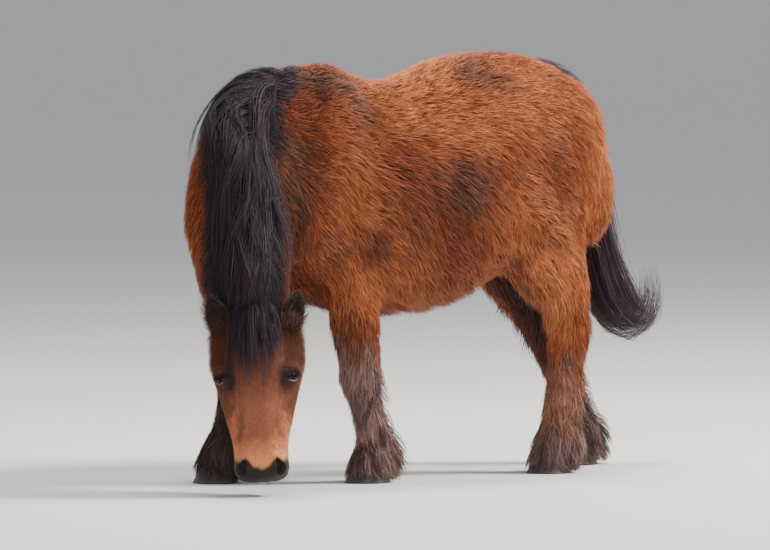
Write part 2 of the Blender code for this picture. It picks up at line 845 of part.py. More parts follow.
def tail_core():
    """The dock and the dense hair round it, up to half way out to the locks' tips."""
    frames = tail_frames(2)
    rings = []
    for i, (centre, side, back, fore, across) in enumerate(frames[:-4]):
        share = i / (len(frames) - 5)
        size = 0.92 - 0.44 * min(1.0, share * 2.5)
        rings.append(oval(centre, side, back, across * size, fore * size, fore * size, 2.0, 10))
    shape = bmesh.new()
    add_loft(shape, rings)
    return new_object("tail", shape, "mane")


def lock(path, outs, width, thick, finish="mane"):
    """One flat, tapered lock along a path: sharp-edged, broad near its root, closing to a tip."""
    rings = []
    last = len(path) - 1
    for i in range(last):
        way = (path[i + 1] - path[max(i - 1, 0)]).normalized()
        side = way.cross(outs[i]).normalized()
        out = side.cross(way)
        share = i / last
        size = 0.65 + 1.4 * share if share < 0.25 else 1.0 - 0.85 * (share - 0.25) ** 1.3 / 0.75**1.3
        rings.append([
            path[i] + side * (width * size),
            path[i] + out * (thick * size),
            path[i] - side * (width * size),
            path[i] - out * (thick * size),
        ])
    shape = bmesh.new()
    loops = [[shape.verts.new(point) for point in ring] for ring in rings]
    tip = shape.verts.new(path[-1])
    faces = [shape.faces.new(reversed(loops[0]))]
    for low, high in zip(loops, loops[1:]):
        for k in range(4):
            faces.append(shape.faces.new((low[k], low[(k + 1) % 4], high[(k + 1) % 4], high[k])))
    for k in range(4):
        faces.append(shape.faces.new((loops[-1][k], loops[-1][(k + 1) % 4], tip)))
    outwards(faces)
    return new_object("lock", shape, finish)


def trace(surface, start, heading, length, lifts):
    """A path over the skin: it starts near a point, follows the heading and rises by the lifts."""
    spot, normal = surface.find_nearest(start)[:2]
    path, outs = [], []
    steps = len(lifts) - 1
    for i, lift in enumerate(lifts):
        path.append(spot + normal * lift)
        outs.append(normal)
        way = heading(i / steps)
        way = (way - normal * way.dot(normal)).normalized()
        spot, normal = surface.find_nearest(spot + way * (length / steps))[:2]
    return path, outs


def mane_locks(surface, chance):
    """Locks from the mane's line: over to the pony's right high on the neck, and to both sides lower down."""
    line = [Vector(row) for row in smooth_rows(MANE_LINE, 6)]
    point, normal = (Vector(v) for v in PLANES["neck"])
    normal.normalize()
    head_point, head_normal = head_plane()
    made = []
    for i in range(MANE_LOCKS):
        share = i / (MANE_LOCKS - 1)
        here = int(share * (len(line) - 2))
        forward = (line[here + 1] - line[here]).normalized()
        right = forward.cross(Vector((0, 0, 1))).normalized()
        both = min(1.0, max(0.0, (share - 0.45) / 0.2))
        fall = chance.uniform(0.6, 1.1) * (1 - both) + chance.uniform(0.1, 0.6) * (-1) ** i * both
        start = line[here] + right * chance.uniform(-0.012, 0.012)

        def heading(done):
            return Vector((0, 0, -0.45 - 1.1 * done)) + right * (fall * (1.2 - done))

        layer = 0.004 + 0.006 * (i % 3)
        lifts = [-0.010, layer + 0.010, layer + 0.012, layer + 0.008, layer + 0.003, 0.004]
        path, outs = trace(surface, start, heading, MANE_LENGTH * chance.uniform(0.8, 1.15), lifts)
        width = MANE_WIDTH * chance.uniform(0.85, 1.15)
        for k, spot in enumerate(path):
            short = width + 0.004 - (spot - point).dot(normal)
            if short > 0:
                path[k] = spot + normal * short
        inside = 0
        for spot in path:
            if (spot - head_point).dot(head_normal) > -0.010 or near_ear(spot, width + 0.004):
                break
            inside += 1
        if inside > 3:
            made.append(lock(path[:inside], outs, width, MANE_THICK))
    return made


def forelock_locks(surface, chance):
    """Locks from between the ears that lie down the forehead."""
    made = []
    for i in range(FORELOCK_LOCKS):
        across = 0.036 * (2 * i / (FORELOCK_LOCKS - 1) - 1)
        start = in_head(0.008 + 0.012 * (i % 3), 0.05, across)
        lean = across * 4 + chance.uniform(-0.15, 0.15)

        def heading(done):
            return ALONG + ACROSS * lean

        rise = 0.004 * (i % 3)
        lifts = [-0.008, 0.004 + rise, 0.006 + rise, 0.004 + rise, 0.003]
        length = FORELOCK_LENGTH * chance.uniform(0.75, 1.1)
        path, outs = trace(surface, start, heading, length, lifts)
        made.append(lock(path, outs, 0.013, 0.0045))
    return made


def tail_locks(chance):
    """Long locks that leave the dock all round and follow the tail's swing."""
    frames = tail_frames(6)
    made = []
    for i in range(TAIL_LOCKS):
        angle = 2.4 * i
        first = 0.06 + 0.40 * i / TAIL_LOCKS
        last = min(1.0, first + chance.uniform(0.48, 0.62))
        path, outs = [], []
        for k in range(7):
            done = k / 6
            centre, side, back, fore, across = frames[int((first + (last - first) * done) * (len(frames) - 1))]
            bend = angle + 0.5 * done
            out = side * (math.cos(bend) * across) + back * (math.sin(bend) * fore)
            reach = 0.30 + 1.4 * done if done < 0.4 else 0.86 + 0.25 * (done - 0.4)
            path.append(centre + out * reach)
            outs.append(out.normalized())
        made.append(lock(path, outs, TAIL_WIDTH * chance.uniform(0.8, 1.15), 0.006))
    return made


def feather_locks(name, chance):
    """Locks from the fetlock and the pastern that hang over the hoof."""
    centre_x, foot = hoof_centre(name)
    leg = leg_rows(name)
    made = []
    for i in range(FEATHER_LOCKS):
        angle = 2 * math.pi * (i + 0.3 * (i % 2)) / FEATHER_LOCKS
        out = Vector((math.cos(angle), math.sin(angle), 0))
        long_back = 0.5 - 0.5 * out.x
        root_z = 0.100 + 0.045 * long_back
        row = min(leg, key=lambda each: abs(each[2] - root_z))
        root = Vector((row[0] + out.x * row[3] * 0.75, row[1] + out.y * row[4] * 0.75, root_z))
        end_z = chance.uniform(0.006, 0.020)
        path = [root]
        for height, stand in ((root_z - 0.030, 0.001), (0.052, 0.006), (0.030, 0.009), (end_z, 0.012)):
            middle, fore, across = hoof_ring(centre_x, foot, min(height, HOOF_TOP))
            stand += 0.010 * long_back
            path.append(Vector((middle.x + out.x * (fore + stand), middle.y + out.y * (across + stand), height)))
        made.append(lock(path, [out] * 5, FEATHER_WIDTH * chance.uniform(0.85, 1.15), 0.0045, "points"))
    return made


def fringe_locks(node, inside, count, chance, finish):
    """Short shaggy locks on the lower parts of one node, lying back and down and lifting off at their tips."""
    surface = surface_of(node)
    faces = [face for face in node.data.polygons if shaggy(face.center, face.normal) and inside(face.center, 0.03)]
    made = []
    tries = 0
    while faces and len(made) < count and tries < 20 * count:
        tries += 1
        face = chance.choices(faces, weights=[each.area for each in faces])[0]

        def heading(done):
            return Vector((-0.8, 0.0, -0.7))

        flare = chance.uniform(0.6, 1.2)
        lifts = [-0.008, 0.003, 0.006 + 0.003 * flare, 0.010 + 0.010 * flare]
        length = FRINGE_LENGTH * chance.uniform(0.8, 1.2)
        path, outs = trace(surface, face.center, heading, length, lifts)
        path[-1].z -= 0.012 * flare
        if all(inside(spot, FRINGE_WIDTH + 0.004) for spot in path):
            made.append(lock(path, outs, FRINGE_WIDTH, 0.0045, finish))
    return made


def shaggy(spot, normal):
    """Whether the coat hangs in locks here: on the belly, the breast, the elbows and the backs of the thighs."""
    belly = spot.z < 0.47 and normal.z < -0.2
    breast = spot.x > 0.44 and 0.46 < spot.z < 0.62
    rear = spot.z < 0.62 and normal.x < -0.3
    return belly or breast or rear


def limits(parts):
    """The lowest and highest x, y and z of all the parts."""
    points = np.array([vert.co for part in parts for vert in part.data.vertices])
    return Vector(points.min(axis=0)), Vector(points.max(axis=0))


def make_neck(skin, face):
    """The neck with its mane."""
    neck = cut_part(skin, "neck", NECK_DETAIL, "coat")
    carve(neck, head_cut(GAP), "DIFFERENCE")
    join_all(neck, mane_locks(face, random.Random(SEED["neck"])))
    return keep_largest(neck)


def make_tail(skin):
    """The tail, from its own plane on the dock, clear of the buttocks."""
    tail = join_all(tail_core(), tail_locks(random.Random(SEED["tail"])))
    carve(tail, part_box("tail"), "INTERSECT")
    carve(tail, inflated(thinned(skin, "room", 3800), 0.003), "DIFFERENCE")
    return keep_largest(tail)


def make_pony():
    clear_scene()
    skin = make_skin()
    face = surface_of(skin)
    parts = []

    # torso with the dock's root, less everything that grows from it
    torso = thinned(skin, "torso", 4400)
    for name in (*LEG_PRISMS, "neck"):
        carve(torso, part_box(name, GAP), "DIFFERENCE")
    dock = carve(tail_core(), part_box("tail", GAP), "DIFFERENCE")
    fringe = fringe_locks(torso, inside_torso, 30, random.Random(SEED["torso"]), "coat")
    join_all(torso, [dock, *fringe])
    parts.append(keep_largest(torso))

    # each leg in two nodes, and its hoof
    for name, upper_name in UPPER.items():
        chance = random.Random(SEED[name])
        leg = cut_part(skin, name, 4200, "points")
        upper = new_object(upper_name, bmesh.new(), "coat")
        upper.data = leg.data.copy()
        upper.data.materials.clear()
        upper.data.materials.append(material("coat"))
        carve(upper, below_split(GAP), "DIFFERENCE")
        join_all(upper, fringe_locks(upper, inside_prism(name), 9, chance, "coat"))
        parts.append(keep_largest(upper))
        carve(leg, below_split(), "INTERSECT")
        carve(leg, block((0, 0, HOOF_TOP), (0, 0, -1), (1, 0, 0), 3, 3, 1), "DIFFERENCE")
        join_all(leg, feather_locks(name, chance))
        parts.append(keep_largest(leg))
        parts.append(make_hoof(name))

    parts.append(make_neck(skin, face))

    # head with lids, nostrils, mouth and forelock
    head = thinned(skin, "head", HEAD_DETAIL)
    carve(head, head_cut(), "INTERSECT")
    eyes = {"left": 1, "right": -1}
    pieces = forelock_locks(face, random.Random(SEED["head"]))
    places = {}
    for word, side in eyes.items():
        places[word] = eye_place(face, side)
        pieces.append(lid_ball(places[word][0]))
    join_all(head, pieces)
    for word, side in eyes.items():
        centre, gaze = places[word]
        carve(head, lid_opening(centre, gaze, side), "DIFFERENCE")
        carve(head, ball(centre, (EYE_RADIUS + GAP,) * 3, Matrix.Identity(3)), "DIFFERENCE")
        carve(head, nostril_cutter(face, side), "DIFFERENCE")
        parts.append(make_eye("eye_" + word, centre))
        cup = ear(side, "ear_" + word)
        carve(cup, inflated(thinned(skin, "room", HEAD_DETAIL), GAP), "DIFFERENCE")
        carve(cup, inflated(thinned(skin, "room", NECK_DETAIL), 0.001), "DIFFERENCE")
        parts.append(keep_largest(cup))
    carve(head, mouth_cutter(face), "DIFFERENCE")
    parts.append(keep_largest(head))

    parts.append(make_tail(skin))

    bpy.data.objects.remove(skin)
    low, high = limits(parts)
    for part in parts:
        # the frame's origin is under the middle of the whole pony
        part.location = (-(low.x + high.x) / 2, -(low.y + high.y) / 2, 0.0)
        part.data.shade_smooth()
        part.data.set_sharp_from_angle(angle=math.radians(50))


make_pony()
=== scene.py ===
"""The looks of a Shetland pony in its winter coat, grazing, over its solids.

Body numbers are the solids' own: metres, +Z up, +X the way the trunk faces, +Y the pony's left.
Every piece is made in them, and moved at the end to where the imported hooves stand.
"""

import math
import random

import bmesh
import bpy
import numpy as np
from mathutils import Matrix, Vector
from mathutils.bvhtree import BVHTree
from mathutils.kdtree import KDTree


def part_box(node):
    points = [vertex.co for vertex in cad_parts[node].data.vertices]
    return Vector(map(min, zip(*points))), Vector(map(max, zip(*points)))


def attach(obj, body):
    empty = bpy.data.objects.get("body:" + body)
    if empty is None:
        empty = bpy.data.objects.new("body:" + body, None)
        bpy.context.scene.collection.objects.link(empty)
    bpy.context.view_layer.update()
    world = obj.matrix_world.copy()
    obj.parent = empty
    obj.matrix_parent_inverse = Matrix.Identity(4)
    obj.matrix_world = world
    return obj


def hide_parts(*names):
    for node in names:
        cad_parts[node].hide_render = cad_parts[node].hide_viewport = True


# Trunk stations from breast to buttocks: x, top, bottom, half width, height of the widest line, squareness
TRUNK = [
    (0.545, 0.70, 0.58, 0.060, 0.64, 2.0),
    (0.510, 0.78, 0.51, 0.125, 0.65, 2.0),
    (0.450, 0.880, 0.465, 0.172, 0.66, 1.9),
    (0.370, 0.955, 0.435, 0.198, 0.67, 1.7),
    (0.290, 0.985, 0.414, 0.212, 0.67, 1.6),
    (0.220, 0.962, 0.403, 0.225, 0.67, 1.7),
    (0.130, 0.937, 0.396, 0.240, 0.67, 2.0),
    (0.020, 0.957, 0.400, 0.254, 0.66, 2.2),
    (-0.080, 0.990, 0.424, 0.256, 0.67, 2.3),
    (-0.190, 1.003, 0.474, 0.242, 0.70, 2.3),
    (-0.300, 0.992, 0.515, 0.226, 0.73, 2.3),
    (-0.395, 0.952, 0.545, 0.196, 0.75, 2.1),
    (-0.455, 0.885, 0.595, 0.142, 0.75, 2.0),
    (-0.497, 0.815, 0.650, 0.078, 0.74, 2.0),
]

# Neck stations from the shoulders to the throat: centre x, y, z, half depth, half width
NECK = [
    (0.310, 0.000, 0.742, 0.242, 0.165),
    (0.435, 0.005, 0.730, 0.228, 0.156),
    (0.528, 0.045, 0.655, 0.194, 0.140),
    (0.580, 0.118, 0.555, 0.152, 0.116),
    (0.610, 0.182, 0.470, 0.130, 0.100),
    (0.634, 0.228, 0.400, 0.112, 0.084),
]

# Masses that round out the trunk, on both sides: centre x, y, z, radii x, y, z, lean in degrees
MUSCLES = [
    (0.345, 0.105, 0.760, 0.095, 0.085, 0.190, -20),  # shoulder blade
    (0.395, 0.130, 0.620, 0.110, 0.082, 0.105, 15),  # point of the shoulder
    (0.470, 0.075, 0.590, 0.065, 0.075, 0.095, 0),  # breast
    (-0.150, 0.165, 0.830, 0.075, 0.065, 0.075, 0),  # point of the hip
    (-0.310, 0.105, 0.790, 0.150, 0.115, 0.165, 0),  # rump
    (-0.420, 0.085, 0.700, 0.080, 0.085, 0.165, 10),  # buttock
]

# Leg stations: height, half size fore and aft, half size across
FORELEG = [
    (0.66, 0.130, 0.075),
    (0.56, 0.100, 0.070),
    (0.47, 0.080, 0.058),
    (0.38, 0.062, 0.050),
    (0.30, 0.051, 0.045),
    (0.255, 0.051, 0.046),
    (0.20, 0.040, 0.036),
    (0.14, 0.038, 0.034),
    (0.10, 0.046, 0.041),
    (0.065, 0.049, 0.045),
    (0.035, 0.048, 0.045),
]
HINDLEG = [
    (0.72, 0.165, 0.100),
    (0.60, 0.150, 0.088),
    (0.52, 0.120, 0.078),
    (0.45, 0.086, 0.064),
    (0.39, 0.063, 0.051),
    (0.345, 0.057, 0.045),
    (0.28, 0.046, 0.040),
    (0.20, 0.042, 0.037),
    (0.13, 0.045, 0.040),
    (0.095, 0.051, 0.046),
    (0.065, 0.051, 0.048),
    (0.035, 0.050, 0.048),
]

# Where each leg's stations lie in the photo's stride: x at each station, then y at the top, middle and foot
STRIDE = {
    "foreleg_left": (
        FORELEG,
        (0.310, 0.295, 0.276, 0.262, 0.252, 0.247, 0.230, 0.211, 0.198, 0.202, 0.208),
        (0.115, 0.118, 0.100),
    ),
    "foreleg_right": (
        FORELEG,
        (0.345, 0.350, 0.368, 0.396, 0.420, 0.432, 0.446, 0.461, 0.472, 0.488, 0.500),
        (-0.115, -0.118, -0.100),
    ),
    "hindleg_left": (
        HINDLEG,
        (-0.26, -0.25, -0.28, -0.318, -0.336, -0.346, -0.343, -0.337, -0.331, -0.330, -0.325, -0.318),
        (0.120, 0.138, 0.105),
    ),
    "hindleg_right": (
        HINDLEG,
        (-0.31, -0.33, -0.36, -0.405, -0.440, -0.470, -0.492, -0.525, -0.543, -0.552, -0.548, -0.538),
        (-0.120, -0.130, -0.080),
    ),
}

# The line that the mane grows from, over the crest from the withers to the poll
MANE_LINE = [
    (0.392, 0.006, 0.955),
    (0.424, 0.032, 0.938),
    (0.464, 0.066, 0.905),
    (0.496, 0.091, 0.871),
    (0.525, 0.117, 0.826),
    (0.551, 0.139, 0.781),
    (0.587, 0.174, 0.725),
    (0.618, 0.208, 0.669),
    (0.644, 0.241, 0.602),
    (0.662, 0.271, 0.536),
    (0.675, 0.298, 0.469),
]

# The mane's far edge: how far it may reach towards the neck's front, on the pony's right
FAR_SIDE = Vector((0.809, -0.588, 0.0))
MANE_REACH = 0.466

# The head hangs from the poll and looks to the pony's left
POLL = Vector((0.651, 0.269, 0.430))
HEAD_TURN = math.radians(54)
HEAD_PITCH = math.radians(6)
HEAD_ROLL = math.radians(2.5)

# Head stations from nape to lips: along, bridge height, half width at the brow, at the cheek,
# at the jaw, cheek height, underside height
HEAD = [
    (-0.020, 0.012, 0.030, 0.064, 0.045, -0.050, -0.110),
    (0.030, 0.034, 0.046, 0.089, 0.058, -0.040, -0.150),
    (0.090, 0.050, 0.062, 0.104, 0.062, -0.035, -0.174),
    (0.150, 0.053, 0.070, 0.107, 0.060, -0.025, -0.170),
    (0.200, 0.047, 0.060, 0.094, 0.053, -0.025, -0.150),
    (0.250, 0.041, 0.049, 0.080, 0.046, -0.028, -0.122),
    (0.300, 0.037, 0.044, 0.068, 0.040, -0.030, -0.096),
    (0.340, 0.034, 0.045, 0.064, 0.040, -0.028, -0.082),
    (0.372, 0.027, 0.047, 0.067, 0.043, -0.022, -0.076),
    (0.391, 0.010, 0.038, 0.056, 0.038, -0.025, -0.066),
    (0.399, -0.012, 0.022, 0.036, 0.024, -0.032, -0.052),
]

# Tail stations from the croup to the tip: centre x, y, z, half fore and aft, half across
TAIL = [
    (-0.410, 0.0, 0.925, 0.032, 0.036),
    (-0.462, -0.010, 0.905, 0.032, 0.036),
    (-0.510, -0.028, 0.815, 0.032, 0.040),
    (-0.540, -0.040, 0.695, 0.036, 0.050),
    (-0.543, -0.036, 0.575, 0.044, 0.062),
    (-0.560, -0.024, 0.470, 0.052, 0.068),
    (-0.594, -0.010, 0.388, 0.054, 0.064),
    (-0.638, 0.000, 0.348, 0.044, 0.052),
    (-0.678, 0.000, 0.375, 0.032, 0.038),
    (-0.690, 0.000, 0.440, 0.022, 0.026),
    (-0.668, 0.000, 0.500, 0.014, 0.016),
]


def smooth_rows(rows, between):
    """The rows with more rows between them, on a Catmull-Rom curve through all their numbers."""
    rows = np.array(rows, float)
    padded = np.vstack([2 * rows[0] - rows[1], rows, 2 * rows[-1] - rows[-2]])
    made = []
    for i in range(len(rows) - 1):
        a, b, c, d = padded[i : i + 4]
        for k in range(between):
            t = k / between
            made.append(
                0.5
                * (
                    2 * b
                    + (c - a) * t
                    + (2 * a - 5 * b + 4 * c - d) * t * t
                    + (3 * b - a - 3 * c + d) * t * t * t
                )
            )
    made.append(rows[-1])
    return np.array(made)


def outwards(faces):
    """Turns the faces of a closed surface round if they look inwards."""
    volume = 0.0
    for face in faces:
        first, *rest = [vert.co for vert in face.verts]
        volume += sum(first.dot(a.cross(b)) for a, b in zip(rest, rest[1:]))
    if volume < 0:
        for face in faces:
            face.normal_flip()


def add_loft(shape, rings):
    """A closed skin over rings of points, added to the bmesh."""
    loops = [[shape.verts.new(point) for point in ring] for ring in rings]
    count = len(loops[0])
    faces = []
    for low, high in zip(loops, loops[1:]):
        for i in range(count):
            j = (i + 1) % count
            faces.append(shape.faces.new((low[i], low[j], high[j], high[i])))
    faces.append(shape.faces.new(reversed(loops[0])))
    faces.append(shape.faces.new(loops[-1]))
    outwards(faces)


def oval(centre, across, up, half_width, rise, drop, power=2.0, count=32):
    """A ring round a centre: its upper and lower halves may differ, and power squares it off."""
    ring = []
    for k in range(count):
        angle = 2 * math.pi * k / count
        side, height = math.cos(angle), math.sin(angle)
        bend = power if height > 0 else 2.2
        sideways = math.copysign(abs(side) ** (2 / bend), side) * half_width
        upwards = math.copysign(abs(height) ** (2 / bend), height)
        upwards *= rise if height > 0 else drop
        ring.append(centre + across * sideways + up * upwards)
    return ring


def head_axes():
    """The head's own directions: along it from poll to lips, out of its forehead, and to its left."""
    face = Vector((math.cos(HEAD_TURN), math.sin(HEAD_TURN), 0.0))
    left = Vector((-math.sin(HEAD_TURN), math.cos(HEAD_TURN), 0.0))
    down = Vector((0.0, 0.0, -1.0))
    along = down * math.cos(HEAD_PITCH) + face * math.sin(HEAD_PITCH)
    dorsal = face * math.cos(HEAD_PITCH) - down * math.sin(HEAD_PITCH)
    rolled = left * math.cos(HEAD_ROLL) - along * math.sin(HEAD_ROLL)
    along = along * math.cos(HEAD_ROLL) + left * math.sin(HEAD_ROLL)
    return along, dorsal, rolled


ALONG, DORSAL, ACROSS = head_axes()


def in_head(along, dorsal, across):
    """A point given by the head's own distances."""
    return POLL + ALONG * along + DORSAL * dorsal + ACROSS * across


def ways_along(centres):
    """The direction at each centre, from its neighbours."""
    last = len(centres) - 1
    return [(centres[min(i + 1, last)] - centres[max(i - 1, 0)]).normalized() for i in range(last + 1)]


def add_trunk_loft(shape):
    across, up = Vector((0, 1, 0)), Vector((0, 0, 1))
    rings = []
    for x, top, bottom, half_width, wide, power in smooth_rows(TRUNK, 3):
        centre = Vector((x, 0.0, wide))
        rings.append(oval(centre, across, up, half_width, top - wide, wide - bottom, power))
    add_loft(shape, rings)


def add_neck(shape):
    rows = smooth_rows(NECK, 4)
    centres = [Vector(row[:3]) for row in rows]
    rings = []
    for centre, forward, row in zip(centres, ways_along(centres), rows):
        sideways = Vector((0, 0, 1)).cross(forward).normalized()
        rings.append(oval(centre, sideways, forward.cross(sideways), row[4], row[3], row[3], 1.5))
    add_loft(shape, rings)


def leg_rows(name):
    """The leg's stations in space: centre x, y, z, half size fore and aft, half size across."""
    sizes, forward, (top, middle, foot) = STRIDE[name]
    rows = []
    for i, ((z, fore, side), x) in enumerate(zip(sizes, forward)):
        share = i / (len(sizes) - 1)
        if share < 0.4:
            y = top + (middle - top) * share / 0.4
        else:
            y = middle + (foot - middle) * (share - 0.4) / 0.6
        rows.append((x, y, z, fore, side))
    return smooth_rows(rows, 3)


def add_leg(shape, name):
    rows = leg_rows(name)
    centres = [Vector(row[:3]) for row in rows]
    rings = []
    for centre, way, row in zip(centres, ways_along(centres), rows):
        fore = Vector((0, 1, 0)).cross(way).normalized()
        rings.append(oval(centre, way.cross(fore), fore, row[4], row[3], row[3], 2.2))
    add_loft(shape, rings)


def head_ring(row, count=36):
    """One slice of the head: a closed curve through its bridge, brow, cheek, jaw and underside."""
    along, bridge, brow, cheek, jaw, cheek_height, underside = row
    depth = bridge - underside
    half = [
        (bridge, 0.0),
        (bridge - 0.03 * depth, brow * 0.62),
        (bridge - 0.13 * depth, brow),
        ((bridge + cheek_height) / 2 - 0.04 * depth, (brow * 0.35 + cheek * 0.65)),
        (cheek_height - 0.02 * depth, cheek),
        (underside * 0.62 + cheek_height * 0.38, jaw * 0.5 + cheek * 0.5),
        (underside + 0.10 * depth, jaw),
        (underside + 0.015 * depth, jaw * 0.55),
        (underside, 0.0),
    ]
    loop = half + [(v, -w) for v, w in reversed(half[1:-1])]
    points = np.array(loop + loop[:3], float)
    closed = smooth_rows(np.vstack([points[-4:-3], points]), 3)[3:-6]
    step = len(closed) / count
    ring = []
    for k in range(count):
        position = k * step
        low = int(position)
        share = position - low
        high = (low + 1) % len(closed)
        dorsal, across = closed[low] * (1 - share) + closed[high] * share
        ring.append(in_head(along, dorsal, across))
    return ring


def tail_frames(between=4):
    """Along the tail: centre, sideways, backwards, half fore and aft, half across."""
    rows = smooth_rows(TAIL, between)
    centres = [Vector(row[:3]) for row in rows]
    frames = []
    for centre, way, row in zip(centres, ways_along(centres), rows):
        back = Vector((0, 1, 0)).cross(way).normalized()
        frames.append((centre, way.cross(back), back, row[3], row[4]))
    return frames


EYE_RADIUS = 0.018
# The gap between the lids, as shares of the eye's radius
LID_WIDE, LID_UP, LID_DOWN = 0.84, 0.60, 0.46

# Each ear's root in the head's own distances, with its length and half width
EAR_SEAT = (0.066, -0.008, 0.072)
EAR_LENGTH = 0.102
EAR_WIDTH = 0.033

# A hoof's height, its half size at the ground, how much narrower its top is, how far the top leans back,
# and how close the growth rings lie
HOOF_TOP = 0.055
HOOF_GROUND = 0.055
HOOF_TAPER = 0.014
HOOF_LEAN = 0.020
HOOF_RINGS = 60
# The middle of the left fore hoof's box, in body numbers
HOOF_MIDDLE = (0.2125, 0.100)

# How deep the flesh lies under the coat's outline
TRUNK_DEPTH, NECK_DEPTH, LEG_DEPTH, HEAD_DEPTH = 0.015, 0.014, 0.008, 0.0025
SKIN_VOXEL = 0.0084

HAIR_COUNTS = {
    "coat": (82000, 20000),
    "face": (19000, 3000),
    "feather": (9000, 3000),
    "mane": (330, 60),
    "forelock": (90, 20),
    "tail": (125, 30),
    "ear": (2600, 2600),
    "lashes": (70, 70),
    "whiskers": (40, 40),
}

# Long hair: strands to a guide, their spread at the root and at the tip, a strand's half width, its shade
STRANDS = {
    "mane": (11, 0.0065, 0.0060, 0.00085, "mane"),
    "forelock": (12, 0.0045, 0.003, 0.0007, "mane"),
    "tail_hair": (14, 0.0075, 0.013, 0.0009, "tail"),
}

# Where a short and a long tuft have their stations, from root to tip
SHORT = (0.0, 0.5, 1.0)
LONG = (0.0, 0.35, 0.7, 1.0)

# Each tuft's own patch on the coat's map, the triangles past which the coat or the long hair gets another
# piece, and how far over the floor hair stays
PATCH = 0.003
MOST_TRIANGLES = 180000
LEAST_HEIGHT = 0.003

# The picture's width, its focal length and its shift, in pixels, then where the camera stands
FRAME_WIDTH = 770
FOCAL_LENGTH = 6784
FRAME_SHIFT = (-32, -11)
CAMERA_TURN, CAMERA_RISE = math.radians(36), math.radians(2.5)
CAMERA_AWAY, CAMERA_AIM = 16, 0.5

# The floor, the sky round the studio, and the height that the lights aim at
FLOOR_SIZE = 900
SKY_COLOUR, SKY_STRENGTH = (0.90, 0.93, 1.0, 1), 0.60
LIGHT_AIM = 0.6

# Studio lights: name, place, size, power and colour
LIGHTS = [
    ("key", (-4.3, 3.0, 5.4), 2.0, 1120, (1.0, 0.97, 0.93)),
    ("fill", (4.5, 5.5, 2.0), 4.0, 120, (0.95, 0.97, 1.0)),
    ("top", (-0.3, -0.8, 6.5), 2.5, 360, (1.0, 0.98, 0.95)),
]

# Colours of the pony, as linear red, green and blue
SHADES = {
    "bay": (0.195, 0.035, 0.006),
    # the coat's own lighter tone, and painted sunlight with a pale painted sheen where it lies in patches
    # over the back, loin, rump and thigh
    "bright and sunlit bay": (0.560, 0.175, 0.056),
    "dark bay": (0.075, 0.019, 0.006),
    "dun brown": (0.095, 0.042, 0.026),
    "black": (0.018, 0.011, 0.011),
    # the lower legs' own grizzled hair, and a painted highlight on the outside of the knees and hocks
    "grizzle and highlight": (0.330, 0.210, 0.185),
    "mane": (0.026, 0.020, 0.026),
    # the same dark hair as the mane, painted lighter to make up for the shade inside the dense tail
    "tail": (0.046, 0.031, 0.040),
    "mealy": (0.620, 0.215, 0.085),
    "face red": (0.225, 0.070, 0.038),
    "forehead": (0.068, 0.022, 0.013),
    "lip": (0.018, 0.013, 0.014),
    "ear": (0.044, 0.022, 0.018),
}

HAIRS = {kind: full for kind, (full, few) in HAIR_COUNTS.items()}
rng = np.random.default_rng(23)


def unit(vectors):
    """The vectors at length one."""
    return vectors / np.maximum(np.linalg.norm(vectors, axis=-1, keepdims=True), 1e-9)


def step_up(values, start, end):
    """A smooth rise from 0 at start to 1 at end."""
    share = np.clip((values - start) / (end - start), 0.0, 1.0)
    return share * share * (3 - 2 * share)


def bell(values, middle, spread):
    """1 at the middle, falling away on both sides of it."""
    return np.exp(-(((values - middle) / spread) ** 2))


def waves(points, size, seed):
    """Soft noise from -1 to 1 that changes over about that size."""
    turns = np.random.default_rng(seed)
    total = np.zeros(len(points))
    for _ in range(7):
        way = unit(turns.normal(size=3)) * (2 * math.pi / size) * turns.uniform(0.6, 1.7)
        total += np.sin(points @ way + turns.uniform(0, 6.3))
    return np.clip(total / 2.6, -1.0, 1.0)


def shade(name):
    return np.array(SHADES[name])


def blended(colours, target, weight):
    """The colours drawn towards one shade by the weight."""
    weight = np.clip(weight, 0.0, 1.0)[:, None]
    return colours * (1 - weight) + shade(target) * weight


def layered(colours, *layers):
    """The colours under shades laid over them in turn, each by its weight."""
    for name, weight in layers:
        colours = blended(colours, name, weight)
    return colours


def plain(name, count):
    """One shade for all the points."""
    return np.tile(shade(name), (count, 1))


def head_numbers(points):
    """Along, dorsal and across of each point, by the head's own distances."""
    away = points - np.array(POLL)
    return away @ np.array(ALONG), away @ np.array(DORSAL), away @ np.array(ACROSS)


def head_share(points):
    """How far each point belongs to the head: 0 on the neck, 1 on the face."""
    along, dorsal, across = head_numbers(points)
    near = (np.abs(across) < 0.16) & (dorsal > -0.24) & (along < 0.5)
    return np.where(near, step_up(along + dorsal * 0.3, -0.02, 0.05), 0.0)
